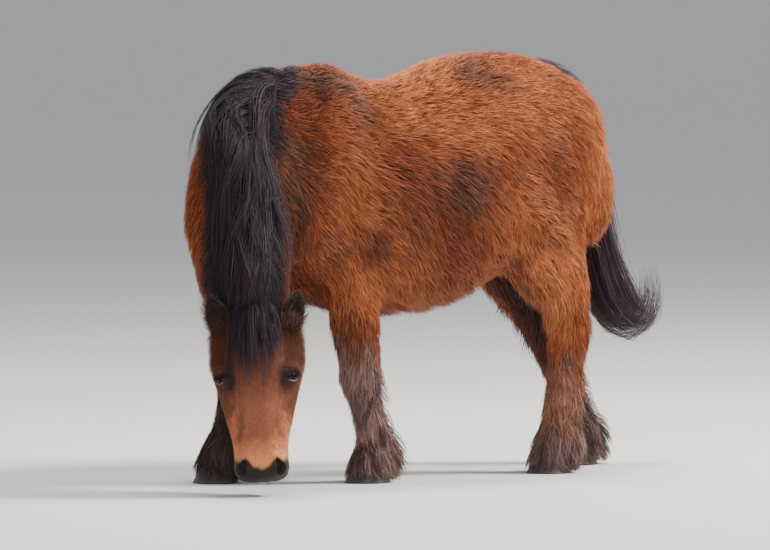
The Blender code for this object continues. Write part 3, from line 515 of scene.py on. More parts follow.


# Patches over the coat, partly its own marks and partly painted light: painted sunlight in the bright
# patches over the back, loin, rump and thigh, and painted shade in darker ones low on the flank. Each one's
# centre, its radii, its shade and how strongly it shows
PATCHES = [
    ((0.090, 0.090, 0.950), (0.210, 0.150, 0.070), "bright and sunlit bay", 0.70),
    ((0.170, 0.190, 0.880), (0.130, 0.090, 0.065), "bright and sunlit bay", 0.60),
    ((0.000, 0.230, 0.830), (0.120, 0.080, 0.080), "bright and sunlit bay", 0.50),
    ((-0.230, 0.150, 0.900), (0.130, 0.100, 0.110), "bright and sunlit bay", 0.50),
    ((-0.410, 0.130, 0.760), (0.110, 0.110, 0.190), "bright and sunlit bay", 0.95),
    ((-0.270, 0.200, 0.470), (0.110, 0.080, 0.170), "bright and sunlit bay", 0.95),
    ((-0.150, 0.230, 0.610), (0.060, 0.060, 0.120), "bright and sunlit bay", 0.40),
    ((0.310, 0.200, 0.690), (0.080, 0.060, 0.110), "bright and sunlit bay", 0.35),
    ((0.250, 0.180, 0.490), (0.110, 0.080, 0.070), "bright and sunlit bay", 0.50),
    ((0.080, 0.170, 0.440), (0.200, 0.100, 0.055), "bright and sunlit bay", 0.35),
    ((0.345, 0.090, 0.945), (0.075, 0.090, 0.060), "dun brown", 0.90),
    ((0.275, 0.150, 0.890), (0.055, 0.050, 0.050), "dun brown", 0.70),
    ((0.474, 0.155, 0.770), (0.050, 0.060, 0.110), "dun brown", 0.80),
    ((0.490, 0.190, 0.640), (0.045, 0.060, 0.080), "dun brown", 0.65),
    ((0.045, 0.250, 0.700), (0.080, 0.060, 0.070), "dark bay", 0.75),
    ((0.045, 0.250, 0.700), (0.070, 0.060, 0.060), "dun brown", 0.45),
    ((-0.068, 0.120, 0.950), (0.055, 0.080, 0.050), "dun brown", 0.80),
    ((0.180, 0.230, 0.720), (0.120, 0.070, 0.110), "dark bay", 0.22),
    ((0.265, 0.200, 0.555), (0.035, 0.050, 0.035), "black", 0.60),
    ((-0.240, 0.215, 0.560), (0.045, 0.060, 0.020), "dark bay", 0.60),
    ((0.580, 0.230, 0.530), (0.040, 0.070, 0.100), "dark bay", 0.45),
    ((-0.425, 0.000, 0.945), (0.045, 0.045, 0.032), "black", 0.75),
    ((0.570, -0.110, 0.560), (0.080, 0.080, 0.260), "dark bay", 0.60),
    ((0.300, -0.150, 0.930), (0.090, 0.080, 0.060), "dun brown", 0.60),
    ((0.020, -0.245, 0.660), (0.110, 0.060, 0.080), "dun brown", 0.55),
    ((0.285, 0.160, 0.450), (0.060, 0.050, 0.070), "bright and sunlit bay", 0.30),
]


def parting_distance(points):
    """How far each point lies from the line that the mane grows from, and how far down the line."""
    line = smooth_rows(MANE_LINE, 6)
    square = (points**2).sum(axis=1)[:, None] - 2 * points @ line.T + (line**2).sum(axis=1)
    return np.sqrt(np.maximum(square.min(axis=1), 0.0)), square.argmin(axis=1) / len(line)


def markings_and_light(points):
    """The coat's colour at each point, with painted sunlight and painted shade in it, the same for the skin
    and for the hair that grows from it.
    """
    x, y, z = points.T
    colours = layered(
        plain("bay", len(points)),
        ("bright and sunlit bay", 0.12 + 0.22 * waves(points, 0.20, 3)),
        ("dark bay", 0.30 * np.clip(waves(points, 0.11, 5), 0, 1)),
    )
    ragged = 0.30 * waves(points, 0.045, 9) + 0.12 * waves(points, 0.018, 10)
    folded = points * (1, 0, 1) + np.abs(points) * (0, 1, 0)
    for centre, radii, name, strength in PATCHES:
        place = folded if name == "bright and sunlit bay" else points
        near = 1 - step_up(np.linalg.norm((place - centre) / radii, axis=1) + ragged, 0.35, 1.55)
        colours = blended(colours, name, near * strength)
    # painted shade between the hind legs and inside the forearms
    inner = 1 - step_up(np.abs(y + 0.01), 0.075, 0.125)
    inner *= np.where(x < -0.12, step_up(0.52 - z, 0.0, 0.08), step_up(0.40 - z, 0.0, 0.08))
    # grizzled brown and black from the knees and hocks down, warmer on the outside of the hind legs, and a
    # painted highlight on the outside of the knees and hocks
    fore = x > 0.05
    edge = np.where(fore, 0.330, 0.265) + 0.045 * waves(points * (1, 1, 0.4), 0.05, 11)
    dark = step_up(edge - z, -0.04, 0.07)
    streak = step_up(waves(points * (1, 1, 0.30), 0.030, 12), -0.20, 0.45)
    front = step_up(x - np.where(fore, 0.25, -0.34), 0.0, 0.05) * (z > 0.22)
    warm = step_up(z, 0.10, 0.17) * step_up(0.31 - z, 0.0, 0.06) * step_up(np.abs(y), 0.075, 0.115)
    outer = step_up(np.abs(y), 0.055, 0.095)
    knees = bell(z, 0.295, 0.045) * fore
    hocks = (1 - step_up(z, 0.20, 0.28)) * (x < 0)
    # the dark line that the mane grows from, and the dark skin under its fall
    away, share = parting_distance(points)
    width = 0.034 + 0.046 * share
    under = 1 - step_up(away, 0.45 * width, width)
    reach = points @ np.array(FAR_SIDE)
    near_edge = 0.355 - 0.045 * share
    below = step_up(reach, near_edge, near_edge + 0.02) * (1 - step_up(reach, 0.470, 0.490))
    under = np.maximum(under, below * (1 - step_up(away, 0.13, 0.19)))
    colours = layered(
        colours,
        # painted shade between the legs
        ("dark bay", inner * 0.9),
        ("black", inner * 0.75 * (z > 0.1)),
        ("grizzle and highlight", dark * 0.85),
        ("black", dark * streak * (0.72 - 0.30 * fore * step_up(z, 0.20, 0.26))),
        ("black", dark * np.where(fore, front, 1 - front) * 0.25),
        ("bright and sunlit bay", warm * dark * (x < 0) * 0.55),
        # painted highlight on the outside of the knees and hocks
        ("grizzle and highlight", outer * (0.50 * knees + 0.20 * hocks)),
        ("black", step_up(0.13 - z, 0.0, 0.09) * 0.22),
        # the lower right foreleg painted nearly black: a painted shadow of the head over it
        ("black", step_up(x, 0.34, 0.40) * step_up(0.36 - z, 0.0, 0.10) * 0.80),
        ("mane", under),
    )
    return face_markings(points, colours)


def face_markings(points, colours):
    """The head's own colours over the coat's."""
    along, dorsal, across = head_numbers(points)
    wide = np.abs(across)
    share = head_share(points)
    noise = 0.010 * waves(points, 0.03, 14)
    top = 1 - step_up(along + noise - 0.25 * wide, 0.120, 0.250)
    # dark streaks down both sides of the bridge, with brighter cheeks beside them
    reach = wide + noise * 0.4 - 0.10 * (along - 0.25)
    low = step_up(along, 0.21, 0.27) * (1 - step_up(along, 0.315, 0.35))
    beside = step_up(reach, 0.046, 0.056) * (1 - step_up(reach, 0.066, 0.080))
    stripe = bell(reach, 0.039, 0.007) * low
    sides = step_up(wide + noise, 0.050, 0.068) * (1 - step_up(along + noise, 0.235, 0.300))
    under = step_up(-dorsal + noise, 0.03, 0.09)
    face = layered(
        plain("face red", len(points)),
        ("bright and sunlit bay", 0.06 + 0.14 * waves(points * (1, 1, 0.5), 0.045, 15)),
        ("forehead", top * 0.85),
        ("bright and sunlit bay", beside * low * 0.40),
        ("dark bay", stripe * 0.60),
        ("dark bay", sides * 0.75),
        ("dark bay", under * 0.9),
    )
    for centre, _ in EYES.values():
        away = np.linalg.norm(points - np.array(centre), axis=1)
        face = blended(face, "black", (1 - step_up(away + noise * 0.4, 0.019, 0.038)) * 0.88)
    mealy = step_up(along + noise * 0.5 + 0.05 * wide, 0.285, 0.355)
    mealy = mealy * (1 - 0.85 * step_up(-dorsal, 0.01, 0.045))
    rim = along + noise * 0.15 + 0.30 * wide - 0.16 * (dorsal - 0.02)
    rim = rim + 0.014 * bell(wide, 0.034, 0.012)
    face = layered(face, ("mealy", mealy * 0.90), ("lip", step_up(rim, 0.362, 0.376)))
    return colours * (1 - share[:, None]) + face * share[:, None]


def join_nodes(links, *rows):
    """Links an output of one node to an input of another, row by row."""
    for start, output, end, socket in rows:
        links.new(start.outputs[output], end.inputs[socket])


def fleck_group():
    """Variation from hair to hair: colour, roughness and height."""
    group = bpy.data.node_groups.new("hair flecks", "ShaderNodeTree")
    inputs = [("Tint", "Color"), ("Place", "Vector")]
    inputs += [(title, "Float") for title in ("Scale", "Strength", "Base Roughness")]
    for title, kind in inputs:
        group.interface.new_socket(title, in_out="INPUT", socket_type="NodeSocket" + kind)
    for title, kind in (("Colour", "Color"), ("Roughness", "Float"), ("Height", "Float")):
        group.interface.new_socket(title, in_out="OUTPUT", socket_type="NodeSocket" + kind)
    nodes = group.nodes
    given = nodes.new("NodeGroupInput")
    result = nodes.new("NodeGroupOutput")
    fine = nodes.new("ShaderNodeTexNoise")
    fine.inputs["Detail"].default_value = 3.0
    spread = nodes.new("ShaderNodeMapRange")
    for title, value in (("From Min", 0.25), ("From Max", 0.75), ("To Min", -1.0), ("To Max", 1.0)):
        spread.inputs[title].default_value = value
    scaled = nodes.new("ShaderNodeMath")
    scaled.operation = "MULTIPLY"
    gain = nodes.new("ShaderNodeMath")
    gain.operation = "ADD"
    gain.inputs[1].default_value = 1.0
    tinted = nodes.new("ShaderNodeVectorMath")
    tinted.operation = "SCALE"
    rough = nodes.new("ShaderNodeMath")
    rough.operation = "MULTIPLY_ADD"
    rough.inputs[1].default_value = 0.12
    join_nodes(
        group.links,
        (given, "Place", fine, "Vector"),
        (given, "Scale", fine, "Scale"),
        (fine, "Fac", spread, "Value"),
        (spread, "Result", scaled, 0),
        (given, "Strength", scaled, 1),
        (scaled, "Value", gain, 0),
        (given, "Tint", tinted, 0),
        (gain, "Value", tinted, "Scale"),
        (tinted, "Vector", result, "Colour"),
        (spread, "Result", rough, 0),
        (given, "Base Roughness", rough, 2),
        (rough, "Value", result, "Roughness"),
        (fine, "Fac", result, "Height"),
    )
    return group


FLECKS = fleck_group()


def hair_material(name, scale, strength, roughness, specular, bump, grain=None, **constants):
    """Hair, hide, horn or eye: the piece's own tint, flecked, with a fine bump."""
    made = bpy.data.materials.new(name)
    made.use_nodes = True
    nodes = made.node_tree.nodes
    shader = nodes["Principled BSDF"]
    shader.inputs["Roughness"].default_value = roughness
    shader.inputs["Specular IOR Level"].default_value = specular
    shader.inputs["Sheen Roughness"].default_value = 0.5
    for title, value in constants.items():
        shader.inputs[title.replace("_", " ").title()].default_value = value
    tint = nodes.new("ShaderNodeAttribute")
    tint.attribute_name = "tint"
    flecks = nodes.new("ShaderNodeGroup")
    flecks.node_tree = FLECKS
    for title, value in (("Scale", scale), ("Strength", strength), ("Base Roughness", roughness)):
        flecks.inputs[title].default_value = value
    if grain:
        place = nodes.new("ShaderNodeAttribute")
        place.attribute_name = grain
    else:
        place = nodes.new("ShaderNodeTexCoord")
    rise = nodes.new("ShaderNodeBump")
    rise.inputs["Strength"].default_value = bump
    rise.inputs["Distance"].default_value = 0.001
    join_nodes(
        made.node_tree.links,
        (place, "Vector" if grain else "Object", flecks, "Place"),
        (tint, "Color", flecks, "Tint"),
        (flecks, "Height", rise, "Height"),
        (flecks, "Colour", shader, "Base Color"),
        (flecks, "Roughness", shader, "Roughness"),
        (rise, "Normal", shader, "Normal"),
    )
    return made


def deselect():
    bpy.ops.object.select_all(action="DESELECT")


def make_active(obj):
    deselect()
    obj.select_set(True)
    bpy.context.view_layer.objects.active = obj


def apply_modifier(obj, kind, **settings):
    """Adds one modifier and applies it."""
    make_active(obj)
    step = obj.modifiers.new(kind.lower(), kind)
    for key, value in settings.items():
        setattr(step, key, value)
    bpy.ops.object.modifier_apply(modifier=step.name)


def object_of(shape, name):
    """The bmesh as a named object in the scene."""
    mesh = bpy.data.meshes.new(name)
    shape.to_mesh(mesh)
    shape.free()
    obj = bpy.data.objects.new(name, mesh)
    bpy.context.scene.collection.objects.link(obj)
    return obj


def read_points(mesh):
    points = np.empty(len(mesh.vertices) * 3)
    mesh.vertices.foreach_get("co", points)
    return points.reshape(-1, 3)


def write_points(mesh, points):
    mesh.vertices.foreach_set("co", points.astype(np.float32).ravel())
    mesh.update()


def read_normals(mesh):
    normals = np.empty(len(mesh.vertices) * 3)
    mesh.vertices.foreach_get("normal", normals)
    return normals.reshape(-1, 3)


def colour_mesh(mesh, colours):
    """Stores a tint for each vertex."""
    layer = mesh.color_attributes.new(name="tint", type="FLOAT_COLOR", domain="POINT")
    filled = np.ones((len(mesh.vertices), 4), np.float32)
    filled[:, :3] = np.clip(colours, 0.0, 1.0)
    layer.data.foreach_set("color", filled.ravel())


def finished(obj, colours, finish):
    """The piece with its tint, smooth shading and material."""
    colour_mesh(obj.data, colours)
    obj.data.shade_smooth()
    obj.data.materials.append(finish)
    return obj


def weight_group(obj, name, weights):
    """A vertex group from one weight per vertex."""
    group = obj.vertex_groups.new(name=name)
    weights = np.round(weights, 1)
    for weight in np.unique(weights):
        if weight > 0:
            group.add(np.flatnonzero(weights == weight).tolist(), float(weight), "REPLACE")
    return group.name


def add_mass(centre, radii, lean=0.0):
    """One muscle or bone under the hide, as a sphere at its size and place."""
    bpy.ops.mesh.primitive_uv_sphere_add(
        segments=24,
        ring_count=14,
        radius=1.0,
        location=centre,
        scale=radii,
        rotation=(0, math.radians(lean), 0),
    )
    return bpy.context.object


def head_mass(along, dorsal, across, radii):
    """A mass on the head's own axes."""
    mass = add_mass(in_head(along, dorsal, across), (1, 1, 1))
    turn = Matrix((ACROSS, DORSAL, ALONG)).transposed().to_4x4()
    mass.scale = radii
    mass.rotation_euler = turn.to_euler()
    return mass


def body_masses():
    masses = []
    for x, y, z, rx, ry, rz, lean in MUSCLES:
        for side in (1, -1):
            masses.append(add_mass((x, side * y, z), (rx, ry, rz), lean))
    for side in (1, -1):
        masses.append(add_mass(in_head(0.150, 0.018, side * 0.080), (0.026, 0.020, 0.024)))
        masses.append(head_mass(0.115, -0.095, side * 0.062, (0.026, 0.060, 0.075)))
        masses.append(head_mass(0.366, 0.002, side * 0.044, (0.020, 0.026, 0.026)))
    masses.append(add_mass(in_head(0.380, -0.066, 0.0), (0.030, 0.018, 0.020)))
    return masses


def finer(obj, wanted):
    """Divides the faces whose centres are wanted in four."""
    shape = bmesh.new()
    shape.from_mesh(obj.data)
    centres = np.array([face.calc_center_median() for face in shape.faces])
    chosen = wanted(centres)
    edges = {edge for face, yes in zip(shape.faces, chosen) if yes for edge in face.edges}
    bmesh.ops.subdivide_edges(shape, edges=list(edges), cuts=1, use_grid_fill=True, smooth=0.0)
    shape.to_mesh(obj.data)
    shape.free()


def on_head(points):
    along, dorsal, across = head_numbers(points)
    return (along > -0.01) & (np.abs(across) < 0.15) & (dorsal > -0.20) & (along < 0.45)


def near_eyes(points, reach):
    near = np.zeros(len(points), bool)
    for centre, _ in EYES.values():
        near |= np.linalg.norm(points - np.array(centre), axis=1) < reach
    return near


def face_features(points):
    """Eyes, nostrils and mouth, where the skin needs fine faces."""
    muzzle = head_numbers(points)[0] > 0.315
    return on_head(points) & (muzzle | near_eyes(points, 0.036))


def at_eyes(points):
    return on_head(points) & near_eyes(points, 0.027)


def eye_axes(gaze, side):
    """The eye's own directions: towards its front corner, and up towards the brow."""
    brow = (-ALONG + gaze * ALONG.dot(gaze)).normalized()
    corner = (brow.cross(gaze) * side + brow * 0.10 * side).normalized()
    return corner, brow


def lid_gap(angle):
    """The almond edge between the lids at an angle, as distances to the corner and to the brow."""
    wide, tall = math.cos(angle), math.sin(angle)
    rise = LID_UP if tall > 0 else LID_DOWN
    return wide * EYE_RADIUS * LID_WIDE, tall * (1 - 0.30 * abs(wide)) * EYE_RADIUS * rise


def carve_eyes(points):
    """Shapes the lids over each eyeball and opens the gap between them."""
    for side, (centre, gaze) in EYES.items():
        corner, brow = (np.array(way) for way in eye_axes(gaze, side))
        gaze = np.array(gaze)
        away = points - np.array(centre)
        ahead, u, v = away @ gaze, away @ corner, away @ brow
        out = np.sqrt(u * u + v * v)
        near = (ahead > -0.022) & (out < 0.036)
        shell = EYE_RADIUS + 0.0022
        ball = np.sqrt(np.maximum(shell**2 - out**2, 0.0))
        lift = np.where(out < shell, ball, -0.02)
        # the lids lie on the ball, and run over into the face
        lids = (ahead + lift + np.sqrt((ahead - lift) ** 2 + 0.004**2)) / 2
        hug = 1 - step_up(out, 0.012, 0.020)
        lids = lids * (1 - hug) + lift * hug
        fold = bell(out, 0.0180, 0.0020) * step_up(np.abs(v), 0.003, 0.012)
        ridge = bell(v, 0.023, 0.009) * bell(u, 0.0, 0.024)
        lids = lids - fold * 0.0014 + ridge * 0.0055
        flat = EYE_RADIUS * LID_WIDE
        tall = EYE_RADIUS * np.where(v > 0, LID_UP, LID_DOWN) * (1 - 0.30 * np.clip(np.abs(u) / flat, 0, 1))
        inside = np.sqrt((u / flat) ** 2 + (v / tall) ** 2)
        gap = 1 - step_up(inside, 0.94, 1.04)
        lids = lids * (1 - gap) + (ball - 0.0065) * gap
        points = points + np.outer((lids - ahead) * near, gaze)
    return points


def nostril_place(surface, side):
    """A nostril's middle, the way it opens and its long way."""
    out = (DORSAL * 0.70 + ACROSS * side * 0.50 + ALONG * 0.50).normalized()
    skin = surface.ray_cast(in_head(0.352, 0.0, side * 0.030), out, 0.2)[0]
    long_way = ALONG * 0.5 - ACROSS * side * 0.25 - DORSAL * 0.55
    long_way = (long_way - out * long_way.dot(out)).normalized()
    return skin, out, long_way, out.cross(long_way)


def carve_muzzle(points, surface):
    """Opens the nostrils and presses in the line of the mouth between two full lips, and gives how dark to
    paint each point: the nostrils' hollows and the mouth's line, partly their own dark skin and partly
    painted shade.
    """
    dark = np.zeros(len(points))
    for side in (1, -1):
        middle, out, long_way, cross_way = (np.array(v) for v in nostril_place(surface, side))
        away = points - middle
        u, v, w = away @ long_way, away @ cross_way, away @ out
        v = v + side * 18.0 * u * u
        near = (np.abs(w) < 0.03) & (np.linalg.norm(away, axis=1) < 0.05)
        reach = np.sqrt((u / 0.0165) ** 2 + (v / 0.0095) ** 2)
        rim = bell(reach, 1.35, 0.38) * near
        hole = (1 - step_up(reach, 0.45, 1.10)) * near
        points = points + out * (rim * 0.0026 - hole * 0.017)[:, None]
        dark = np.maximum(dark, hole)
    middle = np.array(in_head(0.335, -0.050, 0.0))
    lip_normal = unit(np.array(DORSAL * 0.97 - ALONG * 0.10))
    away = points - middle
    level = away @ lip_normal
    flat = away - lip_normal * level[:, None]
    ahead = flat @ np.array(ALONG)
    sideways = flat @ np.array(ACROSS)
    angle = np.degrees(np.arctan2(np.abs(sideways), ahead))
    along = head_numbers(points)[0]
    near = (1 - step_up(angle, 88, 102)) * (along > 0.28)
    away_out = unit(flat)
    groove = bell(level, 0.0, 0.0017) * near
    full = bell(np.abs(level), 0.009, 0.007) * near
    points = points + away_out * (full * 0.0022 - groove * 0.0050)[:, None]
    return points, np.maximum(dark, groove * 0.8)


def coat_depth(points):
    """How far the flesh lies under the outline, at each point."""
    x, _, z = points.T
    depth = np.full(len(points), TRUNK_DEPTH)
    low = step_up(0.42 - z, 0.0, 0.12)
    depth = depth * (1 - low) + LEG_DEPTH * low
    ahead = step_up(x, 0.46, 0.60) * (1 - low)
    depth = depth * (1 - ahead) + NECK_DEPTH * ahead
    share = head_share(points)
    return depth * (1 - share) + HEAD_DEPTH * share


def make_hide():
    """The flesh of the whole pony but for its ears and hooves, as one skin without a seam."""
    shape = bmesh.new()
    add_trunk_loft(shape)
    add_neck(shape)
    add_loft(shape, [head_ring(row) for row in smooth_rows(HEAD, 4)])
    for name in STRIDE:
        add_leg(shape, name)
    dock = [oval(c, s, b, w * 0.55, f * 0.7, f * 0.7) for c, s, b, f, w in tail_frames()[:12]]
    add_loft(shape, dock)
    hide = object_of(shape, "hide")
    masses = body_masses()
    deselect()
    for mass in (*masses, hide):
        mass.select_set(True)
    bpy.context.view_layer.objects.active = hide
    bpy.ops.object.join()
    apply_modifier(hide, "REMESH", mode="VOXEL", voxel_size=SKIN_VOXEL)
    apply_modifier(hide, "SMOOTH", factor=0.5, iterations=3)
    points = read_points(hide.data)
    low = np.clip((0.52 - points[:, 2]) / 0.12, 0, 1) * 0.9
    body = weight_group(hide, "body", (1 - head_share(points)) * (1 - low))
    apply_modifier(hide, "SMOOTH", factor=0.6, iterations=40, vertex_group=body)
    for wanted, title, passes in ((on_head, "head", 6), (face_features, "features", 5)):
        finer(hide, wanted)
        group = weight_group(hide, title, wanted(read_points(hide.data)) * 1.0)
        apply_modifier(hide, "SMOOTH", factor=0.5, iterations=passes, vertex_group=group)
    finer(hide, at_eyes)
    outline = surface_of(hide)
    points = read_points(hide.data)
    points = points - read_normals(hide.data) * coat_depth(points)[:, None]
    points = carve_eyes(points)
    points, dark = carve_muzzle(points, outline)
    points = sculpt_face(points)
    write_points(hide.data, points)
    # the nostrils' hollows and the mouth's line painted dark, partly their own dark skin and partly painted
    # shade
    colour_mesh(hide.data, blended(markings_and_light(points), "lip", dark))
    store_grain(hide.data, points)
    hide.data.shade_smooth()
    return hide


def sculpt_face(points):
    """Small bones and hollows: the ridge of the cheek, the hollow over the eye, the bridge's flat."""
    along, dorsal, across = head_numbers(points)
    share = head_share(points)
    side = np.sign(across)
    out = np.outer(side, np.array(ACROSS)) * 0.8 + np.array(DORSAL) * 0.6
    ridge_line = -0.012 - 0.16 * (along - 0.20)
    ridge = bell(dorsal, ridge_line, 0.008)
    ridge *= step_up(along, 0.17, 0.20) * (1 - step_up(along, 0.25, 0.31))
    ridge *= step_up(np.abs(across), 0.035, 0.050)
    hollow = bell(along, 0.118, 0.016) * bell(np.abs(across), 0.062, 0.012)
    hollow *= dorsal > 0.0
    dip = bell(dorsal, 0.010, 0.014)
    dip *= step_up(along, 0.20, 0.24) * (1 - step_up(along, 0.31, 0.34))
    dip *= step_up(np.abs(across), 0.030, 0.045)
    return points + out * (share * (ridge * 0.0030 - hollow * 0.0030 - dip * 0.0020))[:, None]


def store_grain(mesh, points):
    """Coordinates drawn out along the lie of the hair, for the fine bump of the short coat."""
    along, dorsal, across = head_numbers(points)
    share = head_share(points)[:, None]
    head = np.stack([along * 0.22, dorsal, across], axis=1)
    body = points * (0.4, 1.0, 0.6)
    layer = mesh.attributes.new(name="grain", type="FLOAT_VECTOR", domain="POINT")
    layer.data.foreach_set("vector", (head * share + body * (1 - share)).astype(np.float32).ravel())


def surface_of(obj):
    return BVHTree.FromObject(obj, bpy.context.evaluated_depsgraph_get())


def unwrap(obj):
    """Lays the skin out flat, on the map that the coat's tufts share."""
    obj.data.uv_layers.new(name="OFBake")
    make_active(obj)
    bpy.ops.object.mode_set(mode="EDIT")
    bpy.ops.mesh.select_all(action="SELECT")
    bpy.ops.uv.smart_project(angle_limit=math.radians(66), island_margin=0.002)
    bpy.ops.object.mode_set(mode="OBJECT")


class Ground:
    """The skin as arrays, to sow hair on."""

    def __init__(self, obj):
        mesh = obj.data
        mesh.calc_loop_triangles()
        self.points = read_points(mesh)
        self.normals = read_normals(mesh)
        count = len(mesh.loop_triangles)
        corners = np.empty(count * 3, np.int32)
        mesh.loop_triangles.foreach_get("vertices", corners)
        self.corners = corners.reshape(-1, 3)
        loops = np.empty(count * 3, np.int32)
        mesh.loop_triangles.foreach_get("loops", loops)
        self.loops = loops.reshape(-1, 3)
        uv = np.zeros(len(mesh.loops) * 2, np.float32)
        if "OFBake" in mesh.uv_layers:
            mesh.uv_layers["OFBake"].uv.foreach_get("vector", uv)
        self.uv = uv.reshape(-1, 2)
        a, b, c = (self.points[self.corners[:, k]] for k in range(3))
        self.areas = np.linalg.norm(np.cross(b - a, c - a), axis=1) / 2
        self.centres = (a + b + c) / 3
        self.tree = BVHTree.FromPolygons(self.points.tolist(), self.corners.tolist())

    def sow(self, count, density):
        """Roots spread over the skin by a density at each face: places, normals and map places."""
        weight = self.areas * density
        total = weight.sum()
        marks = (np.arange(count) + rng.uniform(0, 1, count)) / count * total
        chosen = np.searchsorted(np.cumsum(weight), marks)
        chosen = np.clip(chosen, 0, len(weight) - 1)
        first = np.sqrt(rng.uniform(0, 1, count))
        second = rng.uniform(0, 1, count)
        shares = np.stack([1 - first, first * (1 - second), first * second], axis=1)
        corners = self.corners[chosen]
        places = (self.points[corners] * shares[:, :, None]).sum(axis=1)
        normals = unit((self.normals[corners] * shares[:, :, None]).sum(axis=1))
        flat = (self.uv[self.loops[chosen]] * shares[:, :, None]).sum(axis=1)
        return places, normals, flat

    def map_places(self, places):
        """Where each place lies on the skin's map."""
        flat = []
        for place in places:
            index = self.tree.find_nearest(Vector(place))[2]
            flat.append(self.uv[self.loops[index]].mean(axis=0))
        return np.array(flat)


def hair_mesh(name, paths, sides, outs, half_widths, flatness, colours, flat, finish):
    """Closed three-sided tapering hairs along their paths, as one mesh.

    paths is (count, stations, 3), with the tip last. half_widths and colours are given at each station.
    """
    count, stations, _ = paths.shape
    rings = stations - 1
    each = rings * 3 + 1
    points = np.empty((count, each, 3), np.float32)
    tints = np.empty((count, each, 4), np.float32)
    tints[:, :, 3] = 1.0
    for k in range(3):
        angle = math.pi / 2 + 2 * math.pi * k / 3
        sideways = sides[:, :rings] * (math.cos(angle) * half_widths[:, :rings])[:, :, None]
        upwards = outs[:, :rings] * (math.sin(angle) * half_widths[:, :rings] * flatness)[:, :, None]
        points[:, k : rings * 3 : 3] = paths[:, :rings] + sideways + upwards
        tints[:, k : rings * 3 : 3, :3] = colours[:, :rings]
    points[:, -1] = paths[:, -1]
    tints[:, -1, :3] = colours[:, -1]
    loop = [0, 1, 2]
    sizes = [3]
    for i in range(rings - 1):
        for k in range(3):
            a, b = i * 3 + k, i * 3 + (k + 1) % 3
            loop += [a, a + 3, b + 3, b]
            sizes.append(4)
    last = (rings - 1) * 3
    for k in range(3):
        loop += [last + k, each - 1, last + (k + 1) % 3]
        sizes.append(3)
    loop = np.array(loop)
    sizes = np.array(sizes)
    corners = (np.arange(count)[:, None] * each + loop).ravel()
    starts = np.concatenate([[0], np.cumsum(np.tile(sizes, count))[:-1]])
    mesh = bpy.data.meshes.new(name)
    mesh.vertices.add(count * each)
    mesh.vertices.foreach_set("co", points.ravel())
    mesh.loops.add(len(corners))
    mesh.loops.foreach_set("vertex_index", corners.astype(np.int32))
    mesh.polygons.add(count * len(sizes))
    mesh.polygons.foreach_set("loop_start", starts.astype(np.int32))
    mesh.update(calc_edges=True)
    layer = mesh.color_attributes.new(name="tint", type="FLOAT_COLOR", domain="POINT")
    layer.data.foreach_set("color", np.clip(tints, 0, 1).ravel())
    across = np.array([(k % 3) / 3 for k in range(rings * 3)] + [0.5]) - 0.5
    along = np.array([(k // 3) / rings for k in range(rings * 3)] + [1.0]) - 0.5
    spot = np.stack([across, along], axis=1)[loop] * PATCH
    places = (flat[:, None, :] + spot[None, :, :]).reshape(-1, 2)
    uv = mesh.uv_layers.new(name="OFBake")
    uv.uv.foreach_set("vector", np.clip(places, 0, 1).astype(np.float32).ravel())
    mesh.polygons.foreach_set("use_smooth", np.ones(count * len(sizes), bool))
    mesh.materials.append(finish)
    obj = bpy.data.objects.new(name, mesh)
    bpy.context.scene.collection.objects.link(obj)
    return obj


def graded(base, own, gains):
    """Each tuft's colours from root to tip: its own brightness times a gain at each station. Gains below one
    at the root are painted shade among the hairs; gains above one lighten the tips.
    """
    return np.stack([base * (own * gain)[:, None] for gain in gains], axis=1)


def hair_pieces(name, order, arrays, flatness, finish):
    """The hairs as one mesh, or as numbered ones where one would hold too many triangles."""
    stations = arrays[0].shape[1]
    pieces = math.ceil(len(order) * ((stations - 2) * 6 + 4) / MOST_TRIANGLES)
    made = []
    for index, chunk in enumerate(np.array_split(order, pieces)):
        title = name if pieces == 1 else f"{name}_{index + 1}"
        paths, sides, outs, widths, colours, flat = (array[chunk] for array in arrays)
        made.append(hair_mesh(title, paths, sides, outs, widths, flatness, colours, flat, finish))
    return made


def tuft_paths(roots, normals, lies, lengths, rises, bends, shares, sag):
    """Tufts that leave the skin, bend over along the lie and sag a little."""
    sides = unit(np.cross(lies, normals))
    paths = []
    for share in shares:
        spot = roots + lies * (lengths * share)[:, None]
        spot = spot + normals * (rises * (1 - (1 - share) ** 2) - 0.002 * (share == 0))[:, None]
        spot = spot + sides * (bends * lengths * share**2)[:, None]
        spot[:, 2] -= sag * share**2
        paths.append(spot)
    paths = np.stack(paths, axis=1)
    outs = np.repeat(normals[:, None, :], len(shares), axis=1)
    return paths, np.repeat(sides[:, None, :], len(shares), axis=1), outs


def body_lie(points, normals):
    """The way the hair lies on the trunk, the neck and the legs."""
    x, _, z = points.T
    back = np.tile(np.array([-1.0, 0.0, -0.28]), (len(points), 1))
    down = np.array([-0.30, 0.0, -1.0])
    side = step_up(0.90 - z, 0.0, 0.30)[:, None]
    way = back * (1 - 0.55 * side) + down * (0.55 * side)
    rear = step_up(-x, 0.22, 0.40)[:, None]
    way = way * (1 - rear) + np.array([-0.25, 0.0, -1.0]) * rear
    breast = step_up(x, 0.40, 0.50)[:, None]
    way = way * (1 - breast) + np.array([-0.35, 0.0, -0.9]) * breast
    leg = step_up(0.52 - z, 0.0, 0.12) * (np.abs(normals[:, 2]) < 0.75)
    leg = leg[:, None]
    way = way * (1 - leg) + np.array([-0.12, 0.0, -1.0]) * leg
    # a whorl where the flank meets the thigh
    swirl = points - np.array([-0.16, 0.22, 0.62])
    swirl[:, 1] = 0
    near = bell(np.linalg.norm(swirl, axis=1), 0.0, 0.07)[:, None]
    way = way + unit(swirl + 1e-6) * near * 0.9
    return way


